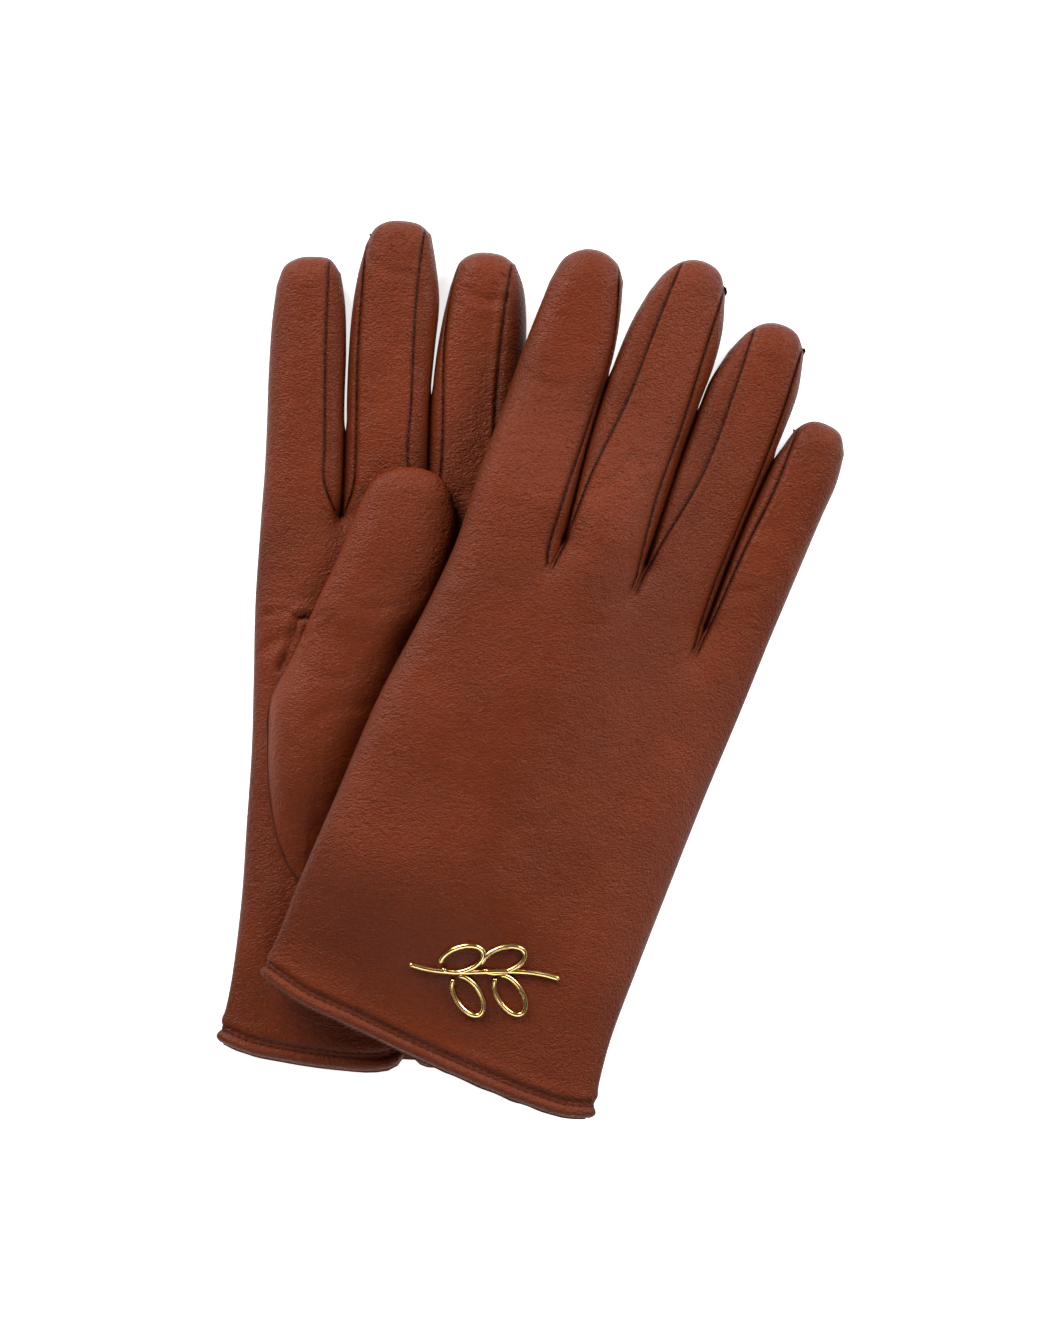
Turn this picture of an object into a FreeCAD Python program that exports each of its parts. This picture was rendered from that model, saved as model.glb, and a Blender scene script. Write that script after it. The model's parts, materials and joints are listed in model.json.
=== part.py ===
import FreeCAD, Part
import math
import os

os.makedirs("parts", exist_ok=True)

Vector = FreeCAD.Vector

# Leather and overall thickness (mm)
WALL = 1.3
DEPTH = 12.0
THUMB_DEPTH = 8.0
LINING = 0.5
LINING_GAP = 0.15
SKIN_GAP = 0.3
HINGE_GAP = 0.4
CROTCH_DROP = 12.0
TIP_TAPER = 0.94
MOUTH_RADIUS = 7.5
LINING_MOUTH_RADIUS = 9.0
GUSSET_WIDTH = 2.6
GUSSET_ENDS = (2.0, 8.0)
FORK_REACH = (-8.0, 60.0)

# Hem, vent and ornament
HEM_DEEP = 4.6
HEM_EXTRA = 0.4
VENT_LENGTH = 34.0
VENT_WIDTH = 5.0
VENT_FLARE = 2.0
HEM_JOIN = 0.1
WIRE_RADIUS = 0.65
CLIP_RADIUS = 0.45
CLIP_HOLE = 0.6
CLIP_HEAD_RADIUS = 1.6
CLIP_HEAD_THICK = 0.6
CLIP_HEAD_GAP = 0.8
CLIP_RISE = 0.15

# How the upper (right) glove drapes over the lower (left) one
STACK_GAP = 0.5
RAMP_LENGTH = 50.0
LOWER_EDGE_X = 14.6
LOWER_EDGE_LEAN = 0.04
THUMB_ROOM = 8.8
ROOM_X = (-6.0, 30.0)
ROOM_Y_CUFF = (8.0, 50.0)
ROOM_Y_TIP = (150.0, 188.0)
GRID_STEP = 12.0

# Cutting blocks that reach past everything (mm)
FIELD_CORNER = (-120.0, -150.0)
FIELD_SIZE = (260.0, 320.0)
DRAPE_SIZE = (216.0, 300.0)
TALL_LOW = -40.0
TALL_HEIGHT = 120.0
HALF_REACH = 70.0
PAST_TIPS = 260.0
PAST_FINGER = 110.0
PAST_THUMB = 90.0
BAND_MARGIN = 3.0

# Ornament curve, in the right glove's own plan
SPRIG_CENTRE = (8.5, 26.5)
SPRIG_LENGTH = 40.0
SPRIG_RISE = 5.0
SPRIG_TURN = -2.0
LEAF_LENGTH = 12.5
LEAF_WIDTH = 3.4
LEAF_ANGLE = 38.0
LEAF_MOUTH = 22.0
LEAF_CLEAR = 1.7
LEAF_POINTS = 8
LEAVES = ((-12.0, 1), (-7.0, -1), (-1.0, 1), (4.0, -1))
CLIP_INSET = 2.0
WIRE_LIFT = 0.95
CLIP_PLACES = (CLIP_INSET - SPRIG_LENGTH / 2, 0.0, SPRIG_LENGTH / 2 - CLIP_INSET)

FINGERS = ("index", "middle", "ring", "little")

# Each glove: where the middle of its cuff lies, its turn (degrees clockwise seen from above),
# the rise of its cuff line per mm across, its two side edges and the points between the fingers.
# Each finger: the line along its middle (root, tip), half width at the root, and the distances of
# its knuckle fold and middle fold from the root. The thumb has its outline and its two folds.
GLOVES = {
    "left": {
        "origin": (-39.6, -108.6),
        "turn": 5.0,
        "cuff_rise": 0.02,
        "palm_up": True,
        "index_side": [(-48.0, -1.0), (-45.6, 18.0), (-45.4, 60.0), (-47.2, 106.0), (-48.6, 146.0)],
        "little_side": [(48.0, 1.0), (44.5, 40.0), (41.0, 80.0), (38.8, 112.0), (38.4, 146.0)],
        "crotches": [(-26.4, 148.5), (-2.5, 150.5), (20.8, 146.0)],
        "fingers": {
            "index": {"root": (-37.9, 146.0), "tip": (-40.9, 221.4), "half": 10.9, "fold": (17.0, 47.0)},
            "middle": {"root": (-13.3, 148.0), "tip": (-17.2, 234.2), "half": 11.3, "fold": (20.5, 53.0)},
            "ring": {"root": (10.0, 147.0), "tip": (7.9, 227.1), "half": 11.1, "fold": (21.5, 51.0)},
            "little": {"root": (29.4, 144.0), "tip": (33.6, 206.8), "half": 8.4, "fold": (14.0, 38.0)},
        },
        "thumb": {
            "outline": [(-36.0, 60.0), (-41.4, 72.0), (-41.4, 98.0), (-31.5, 124.0), (-22.8, 151.0),
                        (-15.0, 162.0), (-3.0, 163.6), (4.4, 156.0), (4.6, 143.0), (-1.6, 125.0),
                        (-14.0, 95.0), (-24.0, 69.0), (-30.0, 58.0)],
            "root_fold": [(-41.4, 72.0), (-41.4, 98.0)],
            "tip_fold": [(-32.0, 123.4), (-3.0, 121.0)],
            "mouth": (-27.0, 88.0),
        },
        "vent": 4.0,
    },
    "right": {
        "origin": (-28.8, -104.9),
        "turn": 19.5,
        "cuff_rise": -0.055,
        "palm_up": False,
        "index_side": [(-49.6, 1.5), (-48.4, 28.0), (-46.2, 68.0), (-41.6, 110.0), (-38.8, 146.0)],
        "little_side": [(50.4, -4.0), (49.2, 45.0), (50.8, 90.0), (52.4, 117.0), (52.2, 138.0)],
        "crotches": [(-11.2, 145.0), (12.8, 147.0), (34.6, 136.0)],
        "fingers": {
            "index": {"root": (-25.4, 144.0), "tip": (-30.4, 224.7), "half": 11.4, "fold": (17.0, 49.0)},
            "middle": {"root": (0.7, 146.0), "tip": (-0.9, 232.4), "half": 11.3, "fold": (18.0, 52.0)},
            "ring": {"root": (23.3, 144.0), "tip": (26.3, 223.7), "half": 10.4, "fold": (17.0, 49.0)},
            "little": {"root": (40.6, 138.0), "tip": (48.2, 201.1), "half": 8.2, "fold": (13.0, 38.0)},
        },
        "thumb": {
            "outline": [(-34.0, 58.0), (-39.6, 70.0), (-38.6, 98.0), (-33.0, 120.0), (-26.0, 140.0),
                        (-19.0, 148.6), (-10.0, 149.0), (-4.6, 141.0), (-6.0, 126.0), (-12.0, 98.0),
                        (-20.0, 70.0), (-27.0, 56.0)],
            "root_fold": [(-39.6, 70.0), (-38.6, 98.0)],
            "tip_fold": [(-33.6, 116.6), (-6.6, 116.0)],
            "mouth": (-25.0, 88.0),
        },
        "vent": 0.0,
    },
}


def smooth(t):
    t = max(0.0, min(1.0, t))
    return t * t * (3.0 - 2.0 * t)


def place(glove, x, y, z=0.0):
    """Point in the common frame from a point in the glove's own plan."""
    turn = math.radians(glove["turn"])
    px = glove["origin"][0] + x * math.cos(turn) + y * math.sin(turn)
    py = glove["origin"][1] - x * math.sin(turn) + y * math.cos(turn)
    return Vector(px, py, z)


def local(glove, px, py):
    """The reverse of place, for the two plan directions."""
    turn = math.radians(glove["turn"])
    dx = px - glove["origin"][0]
    dy = py - glove["origin"][1]
    return dx * math.cos(turn) - dy * math.sin(turn), dx * math.sin(turn) + dy * math.cos(turn)


def drape(px, py):
    """Height of the upper glove's underside: over the lower glove, over its own thumb, then down."""
    beyond = px - LOWER_EDGE_X - LOWER_EDGE_LEAN * py
    stack = (DEPTH + STACK_GAP) * (1.0 - smooth(beyond / RAMP_LENGTH))
    x, y = local(GLOVES["right"], px, py)
    across = 1.0 - smooth((x - ROOM_X[0]) / (ROOM_X[1] - ROOM_X[0]))
    cuff = smooth((y - ROOM_Y_CUFF[0]) / (ROOM_Y_CUFF[1] - ROOM_Y_CUFF[0]))
    tip = 1.0 - smooth((y - ROOM_Y_TIP[0]) / (ROOM_Y_TIP[1] - ROOM_Y_TIP[0]))
    return stack + THUMB_ROOM * across * cuff * tip


def underside(glove, px, py):
    return 0.0 if glove["palm_up"] else drape(px, py)


def drape_face():
    """Smooth face through the draped underside of the upper glove."""
    xs = [FIELD_CORNER[0] + 20.0 + i * GRID_STEP for i in range(int(DRAPE_SIZE[0] / GRID_STEP) + 1)]
    ys = [FIELD_CORNER[1] + j * GRID_STEP for j in range(int(DRAPE_SIZE[1] / GRID_STEP) + 1)]
    rows = [[Vector(px, py, drape(px, py)) for py in ys] for px in xs]
    surface = Part.BSplineSurface()
    surface.interpolate(rows)
    return surface.toShape()


DRAPE_FACE = drape_face()


def slab(low, high):
    return Part.makeBox(*FIELD_SIZE, high - low, Vector(*FIELD_CORNER, low))


def layer(glove, low, high):
    """Solid layer between two heights above the glove's underside."""
    if glove["palm_up"]:
        return slab(low, high)
    return DRAPE_FACE.translated(Vector(0, 0, low)).extrude(Vector(0, 0, high - low))


def palm_layer(glove, low, high):
    """Same, measured inwards from the palm surface, so both gloves read alike."""
    if glove["palm_up"]:
        return layer(glove, DEPTH - high, DEPTH - low)
    return layer(glove, low, high)


def face_of(edges):
    return Part.Face(Part.Wire(edges))


def polygon(glove, points):
    corners = [place(glove, x, y) for x, y in points]
    return Part.Face(Part.makePolygon(corners + corners[:1]))


def tall(face):
    return face.translated(Vector(0, 0, TALL_LOW)).extrude(Vector(0, 0, TALL_HEIGHT))


def curve(points):
    spline = Part.BSplineCurve()
    spline.interpolate(points)
    return spline.toShape()


def hand_face(glove, inset=0.0):
    """Plan of the hand from the cuff edge to the points between the fingers."""
    left = [(x + inset, y) for x, y in glove["index_side"]]
    right = [(x - inset, y) for x, y in glove["little_side"]]
    left_pts = [place(glove, x, y) for x, y in left]
    right_pts = [place(glove, x, y) for x, y in right]
    top = [place(glove, x, y - 1.5 * inset) for x, y in glove["crotches"]]
    edges = [curve(left_pts)]
    chain = [left_pts[-1]] + top + [right_pts[-1]]
    edges += [Part.makeLine(a, b) for a, b in zip(chain, chain[1:])]
    edges.append(curve(right_pts[::-1]))
    edges.append(Part.makeLine(right_pts[0], left_pts[0]))
    return face_of(edges)


def finger_point(finger, across, along):
    """Point in the glove's plan from a distance across and along one finger."""
    rx, ry = finger["root"]
    tx, ty = finger["tip"]
    length = math.hypot(tx - rx, ty - ry)
    ux = (tx - rx) / length
    uy = (ty - ry) / length
    return rx + ux * along + uy * across, ry + uy * along - ux * across


def finger_length(finger):
    return math.hypot(finger["tip"][0] - finger["root"][0], finger["tip"][1] - finger["root"][1])


def finger_face(glove, finger, inset=0.0):
    """Plan of one finger, from well inside the hand to its rounded tip."""
    half = finger["half"] - inset
    end_half = TIP_TAPER * finger["half"] - inset
    shoulder = finger_length(finger) - inset - end_half
    spots = [(-half, -CROTCH_DROP), (-half, 0.0), (-end_half, shoulder)]
    tip = place(glove, *finger_point(finger, 0.0, finger_length(finger) - inset))
    left = [place(glove, *finger_point(finger, a, s)) for a, s in spots]
    right = [place(glove, *finger_point(finger, -a, s)) for a, s in spots]
    edges = [Part.makeLine(left[0], left[1]), Part.makeLine(left[1], left[2])]
    edges.append(Part.Arc(left[2], tip, right[2]).toShape())
    edges += [Part.makeLine(right[2], right[1]), Part.makeLine(right[1], right[0])]
    edges.append(Part.makeLine(right[0], left[0]))
    return face_of(edges)


def finger_band(glove, finger, start, end, side=0):
    """Tall block covering a stretch of a finger; side -1 or 1 keeps only one half of its width."""
    reach = finger["half"] + BAND_MARGIN
    left = -reach if side <= 0 else 0.0
    right = reach if side >= 0 else 0.0
    spots = [(left, start), (right, start), (right, end), (left, end)]
    return tall(polygon(glove, [finger_point(finger, a, s) for a, s in spots]))


def glove_block(glove, inset=0.0):
    """Tall block with the plan of the whole glove."""
    block = tall(hand_face(glove, inset))
    return block.fuse([tall(finger_face(glove, glove["fingers"][f], inset)) for f in FINGERS])


def cuff_block(glove, low, high):
    """Tall block between two distances from the cuff line."""
    x = HALF_REACH
    tilt = x * glove["cuff_rise"]
    corners = [(-x, low - tilt), (x, low + tilt), (x, high + tilt), (-x, high - tilt)]
    return tall(polygon(glove, corners))


def beyond_knuckles(glove):
    """Tall blocks covering every finger past its knuckle fold."""
    return [finger_band(glove, finger, finger["fold"][0] - HINGE_GAP / 2, PAST_FINGER)
            for finger in glove["fingers"].values()]


def vent_block(glove, spread=0.0):
    """Narrow opening running up from the cuff edge in the palm."""
    x = glove["vent"]
    half = VENT_WIDTH / 2 + spread
    wide = half + VENT_FLARE
    points = [(x - wide, -6.0), (x + wide, -6.0), (x + half, 4.0), (x, VENT_LENGTH + spread), (x - half, 4.0)]
    return tall(polygon(glove, points)).common(palm_layer(glove, -4.0, DEPTH / 2))


def mouth_block(glove, radius):
    """Round passage from the hand into the thumb."""
    centre = place(glove, *glove["thumb"]["mouth"], TALL_LOW)
    return Part.makeCylinder(radius, TALL_HEIGHT, centre)


def group(*shapes):
    """One part from solids that meet face to face."""
    return Part.Compound([solid for shape in shapes for solid in shape.Solids])


def wall_of(outer, inner, glove):
    return outer.cut(inner).common(palm_layer(glove, WALL, DEPTH - WALL))


def split_side(shape, glove, side):
    """Half of the hand to the index side (-1) or the little-finger side (1)."""
    x = HALF_REACH * side
    middle = glove["crotches"][1][0]
    corners = [(middle, -5.0), (x, -5.0), (x, PAST_TIPS), (middle, PAST_TIPS)]
    return shape.common(tall(polygon(glove, corners)))


def hand_parts(name, glove):
    """Back, palm, roots between the fingers, hem and lining of one glove."""
    outer = glove_block(glove)
    inner = glove_block(glove, WALL)
    lining_outer = glove_block(glove, WALL + LINING_GAP)
    lining_inner = glove_block(glove, WALL + LINING_GAP + LINING)
    fingers = beyond_knuckles(glove)
    body = cuff_block(glove, HEM_DEEP, PAST_TIPS)
    hand = outer.common(body).cut(fingers)
    walls = wall_of(outer, inner, glove).common(body).cut(fingers)
    forks = walls.common(tall(fork_face(glove)))
    sides = walls.cut(tall(fork_face(glove)))
    back = hand.common(palm_layer(glove, DEPTH - WALL, DEPTH))
    palm = hand.common(palm_layer(glove, 0.0, WALL)).cut(vent_block(glove))
    palm = palm.cut(mouth_block(glove, MOUTH_RADIUS))
    shell = lining_outer.cut(lining_inner)
    rim = WALL + LINING_GAP
    lining = shell.common(palm_layer(glove, rim + LINING, DEPTH - rim - LINING))
    lining = lining.fuse(lining_outer.common(palm_layer(glove, rim, rim + LINING)))
    lining = lining.fuse(lining_outer.common(palm_layer(glove, DEPTH - rim - LINING, DEPTH - rim)))
    lining = lining.common(body).cut(fingers)
    lining = lining.cut(vent_block(glove, 1.0)).cut(mouth_block(glove, LINING_MOUTH_RADIUS))
    return {
        name + "_back_panel": group(back, split_side(sides, glove, 1)),
        name + "_palm_panel": group(palm, split_side(sides, glove, -1)),
        name + "_fork_roots": forks,
        name + "_hem": hem(glove),
        name + "_lining": lining,
    }


def fork_face(glove):
    """Plan area holding the three roots between the fingers."""
    fingers = glove["fingers"]
    near, far = FORK_REACH
    spots = [("index", near), ("little", near), ("little", far), ("index", far)]
    return polygon(glove, [finger_point(fingers[key], 0.0, s) for key, s in spots])


def hem(glove):
    """Turned and stitched edge running round the cuff, open at the vent."""
    band = cuff_block(glove, 0.0, HEM_DEEP - HEM_JOIN)
    outer = tall(hand_face(glove, -HEM_EXTRA)).common(band)
    inner = tall(hand_face(glove, WALL + HEM_EXTRA)).common(band)
    sheet = WALL + HEM_EXTRA
    sides = outer.cut(inner).common(palm_layer(glove, sheet, DEPTH - sheet))
    palm = outer.common(palm_layer(glove, 0.0, sheet)).cut(vent_block(glove))
    return group(sides, palm, outer.common(palm_layer(glove, DEPTH - sheet, DEPTH)))


def finger_parts(name, glove, key):
    """Leather and side strips of the two lengths of one finger."""
    finger = glove["fingers"][key]
    outer = tall(finger_face(glove, finger))
    inner = tall(finger_face(glove, finger, WALL))
    walls = wall_of(outer, inner, glove)
    skins = outer.common(palm_layer(glove, 0.0, WALL))
    skins = skins.fuse(outer.common(palm_layer(glove, DEPTH - WALL, DEPTH)))
    knuckle, bend = finger["fold"]
    half_gap = HINGE_GAP / 2
    spans = {"base": (knuckle + half_gap, bend - half_gap), "tip": (bend + half_gap, PAST_FINGER)}
    parts = {}
    for span, (start, end) in spans.items():
        sides = {-1: walls.common(finger_band(glove, finger, start, end, -1)),
                 1: walls.common(finger_band(glove, finger, start, end, 1))}
        leather = [skins.common(finger_band(glove, finger, start, end))]
        if key == "index":
            leather.append(sides.pop(-1))
        if key == "little":
            leather.append(sides.pop(1))
        parts[name + "_" + key + "_" + span + "_leather"] = group(*leather)
        parts[name + "_" + key + "_" + span + "_fourchettes"] = group(*sides.values())
    return parts


def thumb_levels(glove):
    """Lowest and highest level of the flat thumb, which always lies on the lower glove's palm."""
    low = DEPTH + SKIN_GAP
    return low, low + THUMB_DEPTH


def thumb_face(glove, inset=0.0):
    """Plan of the thumb; its outline runs clockwise, so the inside is on the right of each step."""
    outline = glove["thumb"]["outline"]
    points = []
    for k, (x, y) in enumerate(outline):
        (ax, ay), (bx, by) = outline[k - 1], outline[(k + 1) % len(outline)]
        length = math.hypot(bx - ax, by - ay)
        points.append(place(glove, x + inset * (by - ay) / length, y - inset * (bx - ax) / length))
    return face_of([curve(points), Part.makeLine(points[-1], points[0])])


def fold_line(glove, key):
    (ax, ay), (bx, by) = glove["thumb"][key]
    length = math.hypot(bx - ax, by - ay)
    return (ax, ay), ((bx - ax) / length, (by - ay) / length)


def beside_fold(glove, key, distance, reach):
    """Tall block covering everything to the right of (reach > 0) or left of a fold line."""
    (ax, ay), (ux, uy) = fold_line(glove, key)
    nx, ny = uy, -ux
    near = [(ax + s * ux + distance * nx, ay + s * uy + distance * ny) for s in (-PAST_THUMB, PAST_FINGER)]
    far = [(x + reach * nx, y + reach * ny) for x, y in near[::-1]]
    return tall(polygon(glove, near + far))


def thumb_parts(name, glove):
    """Gusset on the hand, and the two lengths of the thumb folded across the palm."""
    low, high = thumb_levels(glove)
    outer = tall(thumb_face(glove))
    inner = tall(thumb_face(glove, WALL))
    walls = outer.cut(inner).common(slab(low + WALL, high - WALL))
    lower = outer.common(slab(low, low + WALL))
    upper = outer.common(slab(high - WALL, high))
    if glove["palm_up"]:
        lower = lower.cut(mouth_block(glove, MOUTH_RADIUS))
    else:
        upper = upper.cut(mouth_block(glove, MOUTH_RADIUS))
    right_of_root = beside_fold(glove, "root_fold", HINGE_GAP / 2, PAST_THUMB)
    past_bend = beside_fold(glove, "tip_fold", -HINGE_GAP / 2, -PAST_THUMB)
    before_bend = beside_fold(glove, "tip_fold", HINGE_GAP / 2, PAST_THUMB)
    pieces = [shape.common(right_of_root) for shape in (lower, walls, upper)]
    return {
        name + "_thumb_gusset": gusset(glove),
        name + "_thumb_base": group(*[shape.common(before_bend) for shape in pieces]),
        name + "_thumb_tip": group(*[shape.common(past_bend) for shape in pieces]),
    }


def gusset(glove):
    """Narrow leather strip that joins the thumb to the index-side edge of the palm."""
    low, high = thumb_levels(glove)
    (ax, ay), (ux, uy) = fold_line(glove, "root_fold")
    nx, ny = uy, -ux
    length = math.dist(*glove["thumb"]["root_fold"])
    short, long = GUSSET_ENDS
    edge = -HINGE_GAP / 2
    corners = [(edge, short), (edge, length - short), (edge - GUSSET_WIDTH, length - long),
               (edge - GUSSET_WIDTH, long)]
    face = polygon(glove, [(ax + ux * s + nx * a, ay + uy * s + ny * a) for a, s in corners])
    return tall(face).common(slab(low, high))


def sprig_spot(along, across):
    """Point on the sprig in the glove's plan."""
    return SPRIG_CENTRE[0] + along, SPRIG_CENTRE[1] + across


def stem_rise(along):
    return SPRIG_TURN + SPRIG_RISE * math.sin(math.pi * along / SPRIG_LENGTH)


def wire_along(glove, spots):
    """Round wire laid on the back of the draped glove through the given plan points."""
    points = []
    for x, y in spots:
        base = place(glove, x, y)
        points.append(Vector(base.x, base.y, underside(glove, base.x, base.y) + DEPTH + WIRE_LIFT))
    path = Part.Wire(curve(points))
    ring = Part.Wire(Part.makeCircle(WIRE_RADIUS, points[0], path.Edges[0].tangentAt(0.0)))
    return path.makePipeShell([ring], True, True)


def leaf_spots(along, side):
    """Leaf loop that leaves the stem and comes back beside where it left."""
    angle = math.radians(LEAF_ANGLE) * side
    spots = []
    for k in range(LEAF_POINTS + 1):
        turn = math.radians(LEAF_MOUTH + (360.0 - 2.0 * LEAF_MOUTH) * k / LEAF_POINTS)
        u = LEAF_LENGTH / 2 * (1.0 - math.cos(turn))
        v = LEAF_WIDTH * math.sin(turn)
        spots.append(sprig_spot(along + u * math.cos(angle) - v * math.sin(angle),
                                stem_rise(along) + LEAF_CLEAR * side + u * math.sin(angle)
                                + v * math.cos(angle)))
    return spots


def ornament_parts(name, glove):
    """Plain wire sprig on the back near the cuff, and the clips that hold it."""
    half = SPRIG_LENGTH / 2
    stem = wire_along(glove, [sprig_spot(s, stem_rise(s)) for s in (-half, -half / 2, 0.0, half / 2, half)])
    wires = [stem]
    for along, side in LEAVES:
        wires.append(wire_along(glove, leaf_spots(along, side)))
    return {
        name + "_ornament": Part.Compound(wires),
        name + "_ornament_clips": Part.Compound([clip(glove, along) for along in CLIP_PLACES]),
    }


def clip_spot(glove, along):
    base = place(glove, *sprig_spot(along, stem_rise(along)))
    return base, underside(glove, base.x, base.y) + DEPTH


def clip(glove, along):
    """Pin under the stem, through the leather, with a flat head inside."""
    base, top = clip_spot(glove, along)
    inside = top - WALL - LINING_GAP - LINING - CLIP_HEAD_GAP
    pin = Part.makeCylinder(CLIP_RADIUS, top + CLIP_RISE - inside, Vector(base.x, base.y, inside))
    below = Vector(base.x, base.y, inside - CLIP_HEAD_THICK)
    return pin.fuse(Part.makeCylinder(CLIP_HEAD_RADIUS, CLIP_HEAD_THICK, below))


def clip_holes(glove):
    holes = []
    for along in CLIP_PLACES:
        base, top = clip_spot(glove, along)
        holes.append(Part.makeCylinder(CLIP_HOLE, 8.0, Vector(base.x, base.y, top - 5.0)))
    return holes


def glove_parts(name, glove):
    parts = hand_parts(name, glove)
    for key in FINGERS:
        parts.update(finger_parts(name, glove, key))
    parts.update(thumb_parts(name, glove))
    return parts


def all_parts():
    parts = {}
    for name, glove in GLOVES.items():
        parts.update(glove_parts(name, glove))
    right = GLOVES["right"]
    holes = clip_holes(right)
    for key in ("right_back_panel", "right_lining"):
        parts[key] = parts[key].cut(holes)
    parts.update(ornament_parts("right", right))
    return parts


def centred(parts):
    """Move everything so the bottom centre of the whole pair is the origin."""
    box = FreeCAD.BoundBox()
    for shape in parts.values():
        box.add(shape.optimalBoundingBox(False))
    shift = Vector(-box.Center.x, -box.Center.y, -box.ZMin)
    return {name: shape.translated(shift) for name, shape in parts.items()}, shift


PARTS, SHIFT = centred(all_parts())
for node, solid in PARTS.items():
    solid.exportStep("parts/" + node + ".step")
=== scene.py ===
import json
import math

import bpy
import numpy as np
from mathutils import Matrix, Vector, kdtree


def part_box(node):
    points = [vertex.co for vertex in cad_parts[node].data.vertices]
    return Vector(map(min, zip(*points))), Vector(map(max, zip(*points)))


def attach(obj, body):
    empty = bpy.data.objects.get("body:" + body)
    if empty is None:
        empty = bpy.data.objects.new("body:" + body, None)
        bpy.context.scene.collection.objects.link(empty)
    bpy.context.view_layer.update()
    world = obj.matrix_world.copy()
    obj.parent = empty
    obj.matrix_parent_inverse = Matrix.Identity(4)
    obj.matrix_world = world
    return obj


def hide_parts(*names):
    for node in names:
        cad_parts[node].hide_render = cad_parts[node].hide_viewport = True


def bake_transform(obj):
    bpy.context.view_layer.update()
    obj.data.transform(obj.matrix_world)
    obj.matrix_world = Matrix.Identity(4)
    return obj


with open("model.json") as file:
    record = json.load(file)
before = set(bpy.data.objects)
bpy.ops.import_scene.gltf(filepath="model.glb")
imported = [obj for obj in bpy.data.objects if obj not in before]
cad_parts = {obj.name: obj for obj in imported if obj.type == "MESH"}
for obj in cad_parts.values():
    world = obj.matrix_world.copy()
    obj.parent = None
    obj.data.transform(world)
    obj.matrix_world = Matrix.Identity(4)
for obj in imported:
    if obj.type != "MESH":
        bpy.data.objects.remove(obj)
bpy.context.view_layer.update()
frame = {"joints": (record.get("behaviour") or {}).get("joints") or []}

JOINTS = {joint["name"]: joint for joint in frame["joints"]}
MM = 0.001
FINGERS = ("index", "middle", "ring", "little")

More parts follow.
